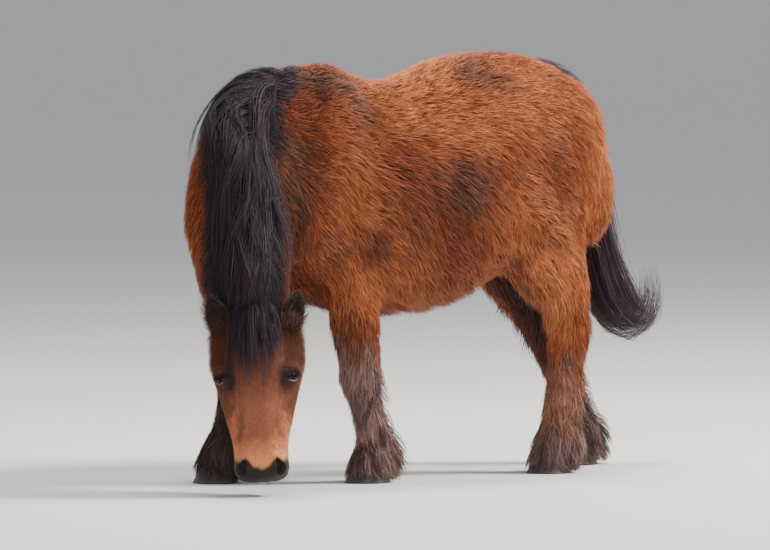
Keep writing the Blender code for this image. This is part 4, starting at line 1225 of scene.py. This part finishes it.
def head_lie(points):
    """The way the hair lies on the head."""
    _, dorsal, across = head_numbers(points)
    way = np.tile(np.array(ALONG), (len(points), 1))
    way = way - np.outer(step_up(-dorsal, -0.02, 0.08), np.array(DORSAL)) * 0.9
    way = way + np.outer(across * 3.0, np.array(ACROSS))
    return way


def lie(points, normals, wander):
    """The lie of the hair, flat on the skin, with a little wander from place to place."""
    share = head_share(points)[:, None]
    way = unit(body_lie(points, normals)) * (1 - share) + unit(head_lie(points)) * share
    broad = [waves(points, size, seed) for size, seed in ((0.09, 31), (0.07, 32), (0.10, 33))]
    drift = np.stack(broad, axis=1)
    fine = np.stack([waves(points, 0.025, seed) for seed in (41, 42, 43)], axis=1)
    way = way + (drift * 0.28 + fine * 0.13) * wander
    way = way - normals * (way * normals).sum(axis=1)[:, None]
    return unit(way)


def gathered(roots, tips, spacing, pull):
    """Tips drawn together in small clumps."""
    picks = rng.choice(len(roots), max(1, int(len(roots) / spacing)), replace=False)
    tree = KDTree(len(picks))
    for index, pick in enumerate(picks):
        tree.insert(roots[pick], index)
    tree.balance()
    nearest = np.array([tree.find(root)[1] for root in roots])
    target = tips[picks][nearest] + (roots - roots[picks][nearest]) * 0.25
    return tips + (target - tips) * pull[:, None]


def coat_density(ground):
    """Where the coat grows: everywhere but the face, thinly by the soles and thickest on the legs."""
    z = ground.centres[:, 2]
    density = np.ones(len(ground.centres))
    density *= 1 - np.minimum(1.0, head_share(ground.centres) * 1.4)
    density[z < 0.05] *= 0.15
    density *= 1 + 0.7 * step_up(0.45 - z, 0, 0.1)
    return density


def grow_coat(ground, finish, count):
    """The winter coat, in tufts over all of the body."""
    roots, normals, flat = ground.sow(count, coat_density(ground))
    x, y, z = roots.T
    ways = lie(roots, normals, 1.0)
    belly = step_up(0.50 - z, 0.0, 0.08) * step_up(-normals[:, 2], 0.1, 0.5)
    low = step_up(0.40 - z, 0.0, 0.10)
    lengths = 0.039 + 0.020 * belly + 0.006 * low * (z > 0.1)
    lengths *= 1 + 0.25 * waves(roots, 0.15, 61)
    lengths *= rng.uniform(0.65, 1.35, count)
    lengths = np.where(z - lengths < 0.008, np.maximum(0.010, z - 0.008), lengths)
    rises = coat_depth(roots) * rng.uniform(0.55, 1.25, count)
    rises += 0.004 * (rng.uniform(0, 1, count) > 0.93)
    bends = rng.normal(0, 0.14, count)
    sag = 0.003 + 0.012 * belly
    paths, sides, outs = tuft_paths(roots, normals, ways, lengths, rises, bends, SHORT, sag)
    tips = gathered(roots, paths[:, -1], 26, rng.uniform(0.0, 0.55, count))
    paths[:, 1] += (tips - paths[:, -1]) * 0.35
    paths[:, -1] = tips
    paths[:, :, 2] = np.maximum(paths[:, :, 2], LEAST_HEIGHT)
    half = 0.00102 * rng.uniform(0.65, 1.35, count)
    widths = np.outer(half, (0.9, 1.0, 0.0))
    clump = 1 + 0.22 * waves(roots * (0.5, 1, 1), 0.018, 51)
    own = np.exp(rng.normal(0, 0.19, count)) * clump
    # darker at the root: painted shade among the hairs
    colours = graded(markings_and_light(roots), own, (0.60, 0.90, 1.20))
    order = np.argsort(np.floor(x / 0.12) * 10 + (y > 0))
    return hair_pieces("coat", order, (paths, sides, outs, widths, colours, flat), 0.55, finish)


def strands(name, guides, guide_outs, ground, finish):
    """Long hair: strands that run beside their guides."""
    per_guide, spread, tip_spread, half_width, colour = STRANDS[name]
    guides = np.array(guides)
    outs = np.array(guide_outs)
    count, stations, _ = guides.shape
    owner = np.repeat(np.arange(count), per_guide)
    total = len(owner)
    along = np.empty_like(guides)
    along[:, 1:-1] = guides[:, 2:] - guides[:, :-2]
    along[:, 0] = guides[:, 1] - guides[:, 0]
    along[:, -1] = guides[:, -1] - guides[:, -2]
    along = unit(along)
    sides = unit(np.cross(along, outs))
    share = np.linspace(0, 1, stations)
    u = rng.normal(0, 1, total)
    v = np.abs(rng.normal(0, 1, total))
    phase = rng.uniform(0, 6.3, total)
    wave = rng.normal(0, 1, total)
    size = spread * (1 - share) + tip_spread * share
    offset_u = u[:, None] * size + 0.0035 * wave[:, None] * np.sin(phase[:, None] + share * 5.0) * share
    offset_v = v[:, None] * size * 0.35
    paths = guides[owner] + sides[owner] * offset_u[:, :, None] + outs[owner] * offset_v[:, :, None]
    # some strands stop short of their guide's tip
    reach = rng.uniform(0.62, 1.0, total)
    position = share[None, :] * reach[:, None] * (stations - 1)
    low = np.minimum(position.astype(int), stations - 2)
    part = (position - low)[:, :, None]
    rows = np.arange(total)[:, None]
    paths = paths[rows, low] * (1 - part) + paths[rows, low + 1] * part
    taper = np.minimum(1.0, 0.6 + share * 3) * (1 - share**2.2 * 0.85)
    widths = half_width * rng.uniform(0.7, 1.3, total)[:, None] * taper
    # a few strands painted much lighter: painted highlights on the long hair
    own = np.exp(rng.normal(0, 0.35, total)) * np.where(rng.uniform(0, 1, total) > 0.95, 1.6, 1.0)
    base = plain(colour, total)
    brown = rng.uniform(0, 1, total) > 0.93
    base[brown] = base[brown] * 0.4 + shade("dark bay") * 0.6
    # lighter towards the tip: painted highlight on the hair's ends
    colours = base[:, None, :] * own[:, None, None] * (0.85 + 0.45 * share)[None, :, None]
    flat = ground.map_places(guides[:, 0])[owner] + rng.normal(0, 0.004, (total, 2))
    arrays = (paths, sides[owner], outs[owner], widths, colours, flat)
    return hair_pieces(name, np.arange(total), arrays, 0.6, finish)


def trace(ground, start, heading, length, lifts):
    """A path over the skin: it starts near a point, follows the heading and rises by the lifts."""
    spot, normal = ground.tree.find_nearest(start)[:2]
    path, outs = [], []
    steps = len(lifts) - 1
    for i, lift in enumerate(lifts):
        path.append(spot + normal * lift)
        outs.append(normal)
        way = heading(i / steps, spot)
        way = (way - normal * way.dot(normal)).normalized()
        spot, normal = ground.tree.find_nearest(spot + way * (length / steps))[:2]
    return path, outs


def beside_ear(spot):
    """Whether a point lies on an ear, or beyond the ears on the side of the head."""
    along, _, across = head_numbers(np.array([spot]))
    if along[0] > 0.0 and abs(across[0]) > 0.068:
        return True
    for side in (1, -1):
        seat, up = ear_line(side)
        reach = min(EAR_LENGTH, max(0.0, (spot - seat).dot(up)))
        if (spot - seat - up * reach).length < 0.019 + 0.012 * reach / EAR_LENGTH:
            return True
    return False


def cut_short(path, outs, stop):
    """The same number of stations, over the part of the path before its first stopped point."""
    last = next((i - 1 for i, spot in enumerate(path) if stop(spot)), len(path) - 1)
    if last < 3:
        return None
    made, normals = [], []
    for i in range(len(path)):
        position = i * last / (len(path) - 1)
        low = min(int(position), last - 1)
        made.append(path[low].lerp(path[low + 1], position - low))
        normals.append(outs[low])
    return made, normals


def arch(height, low, clear, steps):
    """How high a guide lies over the skin at each station: rooted in it, and highest half way."""
    return [-0.003] + [height * (low + 0.8 * math.sin(math.pi * k / steps)) + clear for k in range(1, steps)]


def grow_mane(ground, finish, count):
    """The mane: over to the pony's right high on the neck, and to both sides of its parting lower down."""
    line = [Vector(row) for row in smooth_rows(MANE_LINE, 12)]
    chance = random.Random(5)
    guides, outs = [], []
    while len(guides) < count:
        share = chance.uniform(0, 1) ** 0.95
        here = int(share * (len(line) - 2))
        forward = (line[here + 1] - line[here]).normalized()
        right = forward.cross(Vector((0, 0, 1))).normalized()
        both = min(1.0, max(0.0, (share - 0.40) / 0.25))
        fall = chance.uniform(0.10, 1.30) * (1 - both) + chance.uniform(-0.60, 0.95) * both
        start = line[here] + right * (chance.uniform(-1.0, 1.0) * (0.018 + 0.030 * both))
        start += right * (chance.uniform(0.0, 0.09) * (chance.uniform(0, 1) < 0.35))
        aim = in_head(0.02, 0.06, chance.uniform(-0.050, 0.050))
        inwards = chance.uniform(0, 1) < 0.45 * both
        length = chance.uniform(0.24, 0.40) - 0.06 * both
        height = chance.uniform(0.004, 0.026) * (1 - 0.3 * both) * (1 - 0.45 * max(0.0, fall) / 1.3)
        edge = MANE_REACH - chance.uniform(0.0, 0.04)

        def heading(done, spot):
            if inwards:
                return (aim - spot).normalized() if (aim - spot).dot(ALONG) > 0.02 else ALONG
            room = min(1.0, max(-0.3, (edge - spot.dot(FAR_SIDE)) / 0.06))
            sideways = fall * (1.25 - done)
            if sideways > 0:
                sideways *= room
            beyond = max(0.0, (spot.dot(FAR_SIDE) - edge + 0.02) / 0.03)
            way = Vector((0, 0, -0.25 - 1.2 * done)) + right * sideways + forward * 0.10
            return way - FAR_SIDE * min(2.0, beyond)

        lifts = arch(height, 0.55, 0.004, 9)
        found = cut_short(*trace(ground, start, heading, length, lifts), beside_ear)
        if found:
            guides.append(found[0])
            outs.append(found[1])
    return strands("mane", guides, outs, ground, finish)


def grow_forelock(ground, finish, count):
    """The forelock, from between the ears down over the forehead."""
    chance = random.Random(8)
    guides, outs = [], []
    while len(guides) < count:
        across = chance.uniform(-0.062, 0.062)
        start = in_head(chance.uniform(-0.075, 0.030), 0.06, across)
        lean = across * 2.2 + chance.uniform(-0.20, 0.20)
        length = chance.uniform(0.09, 0.160) * (1 - 0.40 * abs(across) / 0.062)
        height = chance.uniform(0.003, 0.014)

        def heading(done, spot):
            return ALONG + ACROSS * lean

        lifts = arch(height, 0.5, 0.002, 7)
        found = cut_short(*trace(ground, start, heading, length, lifts), beside_ear)
        if found:
            guides.append(found[0])
            outs.append(found[1])
    return strands("forelock", guides, outs, ground, finish)


def grow_tail(ground, finish, count):
    """The tail: long strands from all round the dock that swing back and flick up at the end."""
    frames = tail_frames(12)
    chance = random.Random(3)
    guides, outs = [], []
    for _ in range(count):
        angle = chance.uniform(0, 2 * math.pi)
        radius = math.sqrt(chance.uniform(0.02, 1.0))
        first = chance.uniform(0.0, 0.42)
        last = min(1.0, first + chance.uniform(0.48, 0.74))
        thick = chance.uniform(0.95, 1.25)
        path, normals = [], []
        for k in range(10):
            done = k / 9
            here = int((first + (last - first) * done) * (len(frames) - 1))
            centre, side, back, fore, across = frames[here]
            bend = angle + 0.4 * done
            out = side * (math.cos(bend) * across) + back * (math.sin(bend) * fore)
            reach = radius * min(thick, 0.30 + 1.7 * done)
            path.append(centre + out * reach)
            normals.append(out.normalized())
        guides.append(path)
        outs.append(normals)
    for _ in range(count // 4):
        # a tuft of its own on the dock's root, lying back over the croup
        start = Vector((chance.uniform(-0.430, -0.340), chance.uniform(-0.035, 0.045), 1.0))
        height = chance.uniform(0.014, 0.036)
        lifts = [-0.003] + [height * (0.5 + 0.07 * k) for k in range(1, 10)]
        path, normals = trace(ground, start, lambda done, spot: Vector((-1, 0, -0.6)), 0.085, lifts)
        guides.append(path)
        outs.append(normals)
    return strands("tail_hair", guides, outs, ground, finish)


def grow_feather(ground, finish, count):
    """Coarse long hair on the backs of the lower legs and round the coronets, down over the hooves."""
    z = ground.centres[:, 2]
    density = step_up(0.30 - z, 0.0, 0.08) * (0.5 + 1.2 * step_up(0.14 - z, 0.0, 0.05)) * (z > 0.045)
    density *= 1 - head_share(ground.centres)
    roots, normals, flat = ground.sow(count, density)
    z = roots[:, 2]
    ways = lie(roots, normals, 0.8)
    lengths = (0.040 + 0.035 * step_up(0.20 - z, 0.0, 0.1)) * rng.uniform(0.7, 1.25, count)
    lengths = np.clip(lengths, 0.012, np.maximum(0.012, (z - 0.003) * 1.08))
    behind = step_up(-normals[:, 0], -0.2, 0.8)
    rises = (0.010 + 0.014 * behind) * rng.uniform(0.5, 1.3, count)
    bends = rng.normal(0, 0.20, count)
    paths, sides, outs = tuft_paths(roots, normals, ways, lengths, rises, bends, LONG, 0.0)
    tips = gathered(roots, paths[:, -1], 14, rng.uniform(0.3, 0.9, count))
    move = tips - paths[:, -1]
    paths[:, 1] += move * 0.15
    paths[:, 2] += move * 0.5
    paths[:, -1] = tips
    paths[:, :, 2] = np.maximum(paths[:, :, 2], LEAST_HEIGHT)
    half = 0.0010 * rng.uniform(0.7, 1.3, count)
    widths = np.outer(half, (0.8, 1.0, 0.7, 0.0))
    base = blended(markings_and_light(roots), "black", 0.55 * rng.uniform(0, 1, count))
    own = np.exp(rng.normal(0, 0.30, count))
    # darker at the root: painted shade among the hairs
    colours = graded(base, own, (0.8, 0.95, 1.15, 1.5))
    return [hair_mesh("feather", paths, sides, outs, widths, 0.6, colours, flat, finish)]


def grow_face_hair(ground, finish, count):
    """Very short tufts on the face, longer under the jaw and on the cheeks' edges."""
    along, dorsal, across = head_numbers(ground.centres)
    density = head_share(ground.centres) * (1 - step_up(along, 0.335, 0.355))
    density *= 0.5 + 1.5 * step_up(-dorsal, 0.0, 0.08) + 0.8 * (1 - step_up(along, 0.10, 0.17))
    for centre, _ in EYES.values():
        density *= np.linalg.norm(ground.centres - np.array(centre), axis=1) > 0.0225
    roots, normals, flat = ground.sow(count, density)
    along, dorsal, across = head_numbers(roots)
    ways = lie(roots, normals, 0.5)
    jaw = step_up(-dorsal, 0.05, 0.11) * (1 - step_up(along, 0.25, 0.32))
    poll = 1 - step_up(along, 0.04, 0.10)
    temple = step_up(np.abs(across), 0.055, 0.080) * (1 - step_up(along, 0.10, 0.17))
    lengths = (0.0075 + 0.020 * jaw + 0.012 * poll + 0.014 * temple) * rng.uniform(0.7, 1.3, count)
    rises = (0.0012 + 0.009 * jaw + 0.005 * poll + 0.006 * temple) * rng.uniform(0.5, 1.4, count)
    bends = rng.normal(0, 0.12, count)
    paths, sides, outs = tuft_paths(roots, normals, ways, lengths, rises, bends, SHORT, 0.0)
    half = (0.00034 + 0.0002 * jaw) * rng.uniform(0.7, 1.3, count)
    widths = np.outer(half, (1.0, 1.0, 0.0))
    own = rng.normal(1.0, 0.13, count)
    # the face's tufts painted lighter than the skin: painted light to make up for the shade they cast on
    # themselves
    colours = graded(markings_and_light(roots), own, (1.15, 1.30, 1.50))
    return [hair_mesh("face_hair", paths, sides, outs, widths, 0.5, colours, flat, finish)]


def ear_line(side):
    """An ear's root and the way it points."""
    up = (-ALONG * 0.90 + ACROSS * side * 0.30 + DORSAL * 0.12).normalized()
    return in_head(EAR_SEAT[0], EAR_SEAT[1], side * EAR_SEAT[2]), up


def ear_opening(side, up):
    """The way that an ear's cup faces."""
    opening = (DORSAL * 0.85 + ACROSS * side * 0.50).normalized()
    return (opening - up * opening.dot(up)).normalized()


def make_ear(side, name, finish):
    """One cupped ear, thin at its rim, with its root sunk in the head."""
    seat, up = ear_line(side)
    opening = ear_opening(side, up)
    across = up.cross(opening)
    steps, arc = 14, 11
    rim = 0.0038
    rings = []
    for i in range(steps):
        share = i / (steps - 1)
        width = EAR_WIDTH * (0.62 + 1.35 * share - 1.75 * share**2) * (1 - 0.55 * share**6)
        back = width * 0.85
        hollow = min(0.85, max(0.0, (share - 0.12) * 4.0))
        centre = seat + up * (share * EAR_LENGTH) - opening * 0.001
        outer, inner = [], []
        for k in range(arc):
            angle = math.pi * k / (arc - 1)
            outer.append(centre + across * (math.cos(angle) * width) - opening * (math.sin(angle) * back))
            inner.append(
                centre
                + across * (math.cos(angle) * (width - rim))
                - opening * (math.sin(angle) * (back - rim) * hollow - rim * 0.5)
            )
        rings.append(outer + inner[::-1])
    shape = bmesh.new()
    add_loft(shape, rings)
    obj = object_of(shape, name)
    apply_modifier(obj, "SUBSURF", levels=1, render_levels=1)
    points = read_points(obj.data)
    reach = (points - np.array(seat)) @ np.array(up) / EAR_LENGTH
    colours = blended(plain("dark bay", len(points)), "ear", 0.45 + 0.6 * step_up(reach, 0.3, 0.9))
    finished(obj, colours, finish)
    store_grain(obj.data, points)
    return obj


def grow_ear_hair(ear, side, name, finish, ground, count):
    """Short hair on the ear's back and long soft hair that fills its cup."""
    own = Ground(ear)
    seat, up = ear_line(side)
    opening = np.array(ear_opening(side, up))
    seat, up = np.array(seat), np.array(up)
    roots, normals, _ = own.sow(count, np.ones(len(own.centres)))
    reach = (roots - seat) @ up / EAR_LENGTH
    inside = step_up(normals @ opening, 0.0, 0.5) * (reach < 0.9)
    ways = up + opening * 0.45 * inside[:, None] + rng.normal(0, 0.18, (count, 3))
    ways = unit(ways - normals * (ways * normals).sum(axis=1)[:, None] * (1 - 0.8 * inside)[:, None])
    lengths = 0.010 + 0.010 * inside + 0.010 * (1 - step_up(reach, 0.1, 0.4))
    lengths *= rng.uniform(0.7, 1.3, count) * (1 - 0.5 * step_up(reach, 0.7, 1.0))
    rises = (0.0035 + 0.007 * inside) * rng.uniform(0.5, 1.3, count)
    bends = rng.normal(0, 0.12, count)
    paths, sides, outs = tuft_paths(roots, normals, ways, lengths, rises, bends, SHORT, 0.0)
    half = 0.0007 * rng.uniform(0.7, 1.3, count)
    widths = np.outer(half, (1.0, 1.0, 0.0))
    base = blended(plain("dark bay", count), "ear", 0.60 + 0.40 * step_up(reach, 0.1, 0.5))
    # darker at the root: painted shade among the hairs
    colours = graded(base, rng.normal(1.0, 0.2, count), (0.7, 1.0, 1.3))
    flat = ground.map_places(roots)
    return hair_mesh(name, paths, sides, outs, widths, 0.5, colours, flat, finish)


def make_eyeball(side, name, finish):
    """A dark eye with a level pupil and a swelling cornea."""
    centre, gaze = EYES[side]
    corner, brow = (np.array(v) for v in eye_axes(gaze, side))
    bpy.ops.mesh.primitive_uv_sphere_add(segments=64, ring_count=40, radius=EYE_RADIUS)
    obj = bpy.context.object
    obj.name = name
    points = read_points(obj.data) @ np.array([corner, np.cross(np.array(gaze), corner), np.array(gaze)])
    ahead = points @ np.array(gaze) / EYE_RADIUS
    points = points + np.outer(step_up(ahead, 0.72, 1.0) * 0.0012, np.array(gaze))
    u, v = points @ corner / EYE_RADIUS, points @ brow / EYE_RADIUS
    out = np.sqrt(u * u + v * v)
    colours = np.tile(np.array([0.008, 0.005, 0.004]), (len(points), 1))
    iris = (1 - step_up(out, 0.66, 0.74)) * (ahead > 0)
    rays = 0.8 + 0.35 * np.sin(np.arctan2(v, u) * 23)
    brown = np.array([0.016, 0.006, 0.003]) * rays[:, None]
    colours = colours * (1 - iris[:, None]) + brown * iris[:, None]
    pupil = (1 - step_up(np.sqrt((u / 0.42) ** 2 + (v / 0.24) ** 2), 0.85, 1.05)) * (ahead > 0)
    colours = colours * (1 - pupil[:, None]) + 0.002 * pupil[:, None]
    write_points(obj.data, points + np.array(centre))
    return finished(obj, colours, finish)


def on_lid(side, angle, wide, tall, proud):
    """A point beside the lids' edge at an angle, on a ball a little larger than the eye."""
    centre, gaze = EYES[side]
    corner, brow = eye_axes(gaze, side)
    u, v = lid_gap(angle)
    flat = corner * u * wide + brow * (v * tall)
    ahead = math.sqrt(max(1e-9, (EYE_RADIUS + proud) ** 2 - flat.length_squared))
    return centre + flat + gaze * ahead


def make_lid_rim(side, name, finish):
    """The wet dark edge of both lids, paler along the lower one."""
    centre, gaze = EYES[side]
    brow = eye_axes(gaze, side)[1]
    steps, turns = 72, 10
    middles = [on_lid(side, 2 * math.pi * i / steps, 1.0, 1.0, 0.0012) for i in range(steps)]
    shape = bmesh.new()
    rings = []
    for i, middle in enumerate(middles):
        way = (middles[(i + 1) % steps] - middles[i - 1]).normalized()
        out = (middle - centre).normalized()
        side_way = way.cross(out)
        ring = []
        for k in range(turns):
            angle = 2 * math.pi * k / turns
            away = out * (math.cos(angle) * 0.0015) + side_way * (math.sin(angle) * 0.0013)
            ring.append(shape.verts.new(middle + away))
        rings.append(ring)
    faces = []
    for i in range(steps):
        low, high = rings[i], rings[(i + 1) % steps]
        for k in range(turns):
            j = (k + 1) % turns
            faces.append(shape.faces.new((low[k], low[j], high[j], high[k])))
    bmesh.ops.recalc_face_normals(shape, faces=faces)
    obj = object_of(shape, name)
    points = read_points(obj.data)
    v = (points - np.array(centre)) @ np.array(brow)
    colours = plain("black", len(points))
    low = step_up(-v, 0.003, 0.006)[:, None] * 0.6
    colours = colours * (1 - low) + np.array([0.26, 0.15, 0.115]) * low
    return finished(obj, colours, finish)


def single_hairs(name, roots, ways, bend_ways, lengths, bend, sag, half, colour, flat, finish):
    """Fine single hairs that bend as they grow."""
    count = len(roots)
    straight = np.zeros(count)
    paths, sides, outs = tuft_paths(roots, bend_ways, ways, lengths, bend * lengths, straight, LONG, sag)
    paths[:, :, 2] = np.maximum(paths[:, :, 2], LEAST_HEIGHT)
    widths = np.tile(np.array([1.0, 1.0, 0.7, 0.0]) * half, (count, 1))
    colours = np.tile(colour, (count, len(LONG), 1))
    return hair_mesh(name, paths, sides, outs, widths, 0.9, colours, flat, finish)


def grow_lashes(side, name, finish, ground, count):
    """Lashes along the upper lid."""
    gaze = EYES[side][1]
    corner, brow = eye_axes(gaze, side)
    roots, ways = [], []
    chance = random.Random(4)
    for _ in range(count):
        angle = math.radians(chance.uniform(15, 165))
        roots.append(on_lid(side, angle, 1.12, 1.18, 0.002))
        ways.append((gaze * 0.9 + brow * 0.25 + corner * math.cos(angle) * 0.4).normalized())
    roots, ways = np.array(roots), np.array(ways)
    upwards = np.tile(np.array(brow), (count, 1))
    lengths = rng.uniform(0.007, 0.012, count)
    colour = shade("black") * 0.7
    flat = ground.map_places(roots)
    return single_hairs(name, roots, ways, upwards, lengths, -0.4, 0.0, 0.00035, colour, flat, finish)


def grow_whiskers(ground, finish, count):
    """Long single hairs on the lips and chin."""
    along, dorsal, _ = head_numbers(ground.centres)
    roots, normals, flat = ground.sow(count, step_up(along, 0.345, 0.375) * (dorsal < 0.0))
    ways = unit(normals * 0.8 + np.array(ALONG) * 0.3 + rng.normal(0, 0.25, (count, 3)))
    lengths = rng.uniform(0.008, 0.016, count)
    lengths = np.minimum(lengths, np.maximum(0.004, roots[:, 2] - 0.004))
    bend_ways = unit(np.cross(ways, rng.normal(size=(count, 3))))
    colour = shade("black")
    return single_hairs(
        "whiskers", roots, ways, bend_ways, lengths, 0.2, 0.002, 0.00022, colour, flat, finish
    )


def make_hoof(name, title, finish):
    """A hoof of horn with growth rings, wider at the ground than at the coronet."""
    _, forward, (_, _, foot) = STRIDE[name]
    centre_x = forward[-1] + 0.008
    bpy.ops.mesh.primitive_cylinder_add(vertices=56, radius=1.0, depth=1.0, location=(0, 0, 0.5))
    obj = bpy.context.object
    obj.name = title
    bpy.ops.object.transform_apply(location=True)
    shape = bmesh.new()
    shape.from_mesh(obj.data)
    uprights = [edge for edge in shape.edges if abs(edge.verts[0].co.z - edge.verts[1].co.z) > 0.5]
    bmesh.ops.subdivide_edges(shape, edges=uprights, cuts=22)
    level = [edge for edge in shape.edges if abs(edge.verts[0].co.z - edge.verts[1].co.z) < 1e-6]
    caps = [edge for edge in level if not 1e-6 < edge.verts[0].co.z < 1 - 1e-6]
    bmesh.ops.bevel(shape, geom=caps, offset=0.02, segments=2, affect="EDGES")
    shape.to_mesh(obj.data)
    shape.free()
    points = read_points(obj.data)
    x, y, z = points.T
    share = np.clip(z, 0, 1)
    size = HOOF_GROUND - HOOF_TAPER * share + 0.0004 * np.sin(share * HOOF_RINGS)
    height = share * (HOOF_TOP - 0.0003)
    points = np.stack([centre_x - HOOF_LEAN * share + x * size, foot + y * size * 0.92, height], axis=1)
    write_points(obj.data, points)
    colours = np.tile(np.array([0.045, 0.036, 0.031]), (len(points), 1))
    bands = 1 + 0.25 * np.sin(share * HOOF_RINGS + 1) + 0.5 * step_up(0.2 - share, 0, 0.2)
    return finished(obj, colours * bands[:, None], finish)


def eye_place(word):
    """The eyeball's middle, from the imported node, and the way it looks."""
    low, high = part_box("eye_" + word)
    side = 1 if word == "left" else -1
    gaze = (DORSAL * 0.78 + ACROSS * side * 0.62 + ALONG * 0.08).normalized()
    return (low + high) / 2 - SHIFT, gaze


def put_down(obj):
    """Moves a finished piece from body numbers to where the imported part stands."""
    obj.data.transform(Matrix.Translation(SHIFT))


def make_stage():
    bpy.ops.mesh.primitive_plane_add(size=FLOOR_SIZE, location=(0, 0, -0.0005))
    floor = bpy.context.object
    floor.name = "floor"
    made = bpy.data.materials.new("pale floor")
    made.use_nodes = True
    nodes, links = made.node_tree.nodes, made.node_tree.links
    noise = nodes.new("ShaderNodeTexNoise")
    noise.inputs["Scale"].default_value = 3.0
    ramp = nodes.new("ShaderNodeValToRGB")
    ramp.color_ramp.elements[0].color = (0.66, 0.65, 0.62, 1)
    ramp.color_ramp.elements[1].color = (0.70, 0.69, 0.66, 1)
    links.new(noise.outputs["Fac"], ramp.inputs["Fac"])
    links.new(ramp.outputs["Color"], nodes["Principled BSDF"].inputs["Base Color"])
    nodes["Principled BSDF"].inputs["Roughness"].default_value = 0.9
    floor.data.materials.append(made)


def add_light(name, place, size, power, colour):
    data = bpy.data.lights.new(name, "AREA")
    data.shape = "DISK"
    data.size = size
    data.energy = power
    data.color = colour
    lamp = bpy.data.objects.new(name, data)
    lamp.location = place
    lamp.rotation_euler = (Vector((0, 0, LIGHT_AIM)) - Vector(place)).to_track_quat("-Z", "Y").to_euler()
    bpy.context.scene.collection.objects.link(lamp)


def make_studio():
    world = bpy.data.worlds.new("studio")
    world.use_nodes = True
    sky = world.node_tree.nodes["Background"]
    sky.inputs["Color"].default_value = SKY_COLOUR
    sky.inputs["Strength"].default_value = SKY_STRENGTH
    bpy.context.scene.world = world
    for light in LIGHTS:
        add_light(*light)


def make_camera():
    data = bpy.data.cameras.new("camera")
    data.sensor_width = 36
    data.lens = FOCAL_LENGTH / FRAME_WIDTH * data.sensor_width
    data.shift_x = FRAME_SHIFT[0] / FRAME_WIDTH
    data.shift_y = FRAME_SHIFT[1] / FRAME_WIDTH
    data.clip_end = 2000
    obj = bpy.data.objects.new("camera", data)
    level = math.cos(CAMERA_RISE)
    away = Vector((math.sin(CAMERA_TURN) * level, math.cos(CAMERA_TURN) * level, math.sin(CAMERA_RISE)))
    obj.location = Vector((SHIFT.x, SHIFT.y, CAMERA_AIM)) + away * CAMERA_AWAY
    obj.rotation_euler = (-away).to_track_quat("-Z", "Y").to_euler()
    bpy.context.scene.collection.objects.link(obj)
    bpy.context.scene.camera = obj


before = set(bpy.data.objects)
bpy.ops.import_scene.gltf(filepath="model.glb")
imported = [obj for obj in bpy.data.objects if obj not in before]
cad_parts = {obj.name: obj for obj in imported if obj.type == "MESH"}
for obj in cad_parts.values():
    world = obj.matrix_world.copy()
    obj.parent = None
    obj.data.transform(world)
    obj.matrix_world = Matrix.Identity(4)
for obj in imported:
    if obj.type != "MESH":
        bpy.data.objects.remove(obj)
deselect()
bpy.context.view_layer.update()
low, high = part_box("forehoof_left")
SHIFT = Vector(((low.x + high.x) / 2 - HOOF_MIDDLE[0], (low.y + high.y) / 2 - HOOF_MIDDLE[1], 0.0))
EYES = {1: eye_place("left"), -1: eye_place("right")}

hide_finish = hair_material(
    "hide", 900, 0.45, 0.70, 0.18, 0.80, "grain", sheen_weight=0.05, sheen_tint=(1.0, 0.7, 0.5, 1.0)
)
coat_finish = hair_material(
    "winter coat", 260, 0.20, 0.62, 0.15, 0.25, sheen_weight=0.11, sheen_tint=(1.0, 0.78, 0.72, 1.0)
)
long_finish = hair_material("long hair", 420, 0.25, 0.55, 0.18, 0.25)
horn_finish = hair_material("hoof horn", 130, 0.25, 0.50, 0.40, 0.40)
rim_finish = hair_material("lid edge", 500, 0.15, 0.34, 0.25, 0.20)
eye_finish = hair_material("eye", 300, 0.10, 0.16, 0.10, 0.02, coat_weight=0.14, coat_roughness=0.02)

hide = make_hide()
hide.data.materials.clear()
hide.data.materials.append(hide_finish)
unwrap(hide)
ground = Ground(hide)

flesh = ["torso", "neck", "head"]
for end in ("_left", "_right"):
    flesh += ["foreleg" + end, "upper_foreleg" + end, "thigh" + end, "hindleg" + end]
pieces = {"coat": [hide], "points": [], "mane": [], "hoof": [], "eye": []}
pieces["coat"] += grow_coat(ground, coat_finish, HAIRS["coat"])
pieces["coat"] += grow_face_hair(ground, coat_finish, HAIRS["face"])
pieces["points"] += grow_feather(ground, coat_finish, HAIRS["feather"])
pieces["mane"] += grow_mane(ground, long_finish, HAIRS["mane"])
pieces["mane"] += grow_forelock(ground, long_finish, HAIRS["forelock"])
tail = grow_tail(ground, long_finish, HAIRS["tail"])
pieces["mane"] += tail
for side, word in ((1, "left"), (-1, "right")):
    ball = make_eyeball(side, "eyeball_" + word, eye_finish)
    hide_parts("eye_" + word)
    pieces["eye"].append(ball)
    pieces["points"].append(make_lid_rim(side, "lid_rim_" + word, rim_finish))
    pieces["points"].append(grow_lashes(side, "lashes_" + word, long_finish, ground, HAIRS["lashes"]))
    shell = make_ear(side, "ear_shell_" + word, hide_finish)
    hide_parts("ear_" + word)
    pieces["points"].append(shell)
    hair = grow_ear_hair(shell, side, "ear_hair_" + word, coat_finish, ground, HAIRS["ear"])
    pieces["points"].append(hair)
pieces["points"].append(grow_whiskers(ground, long_finish, HAIRS["whiskers"]))
for name in STRIDE:
    hoof = make_hoof(name, "horn_" + name.replace("leg", "hoof"), horn_finish)
    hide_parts(name.replace("leg", "hoof"))
    pieces["hoof"].append(hoof)
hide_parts(*flesh)
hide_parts("tail")
for slot, members in pieces.items():
    for piece in members:
        put_down(piece)
        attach(piece, "root")

make_stage()
make_studio()
make_camera()
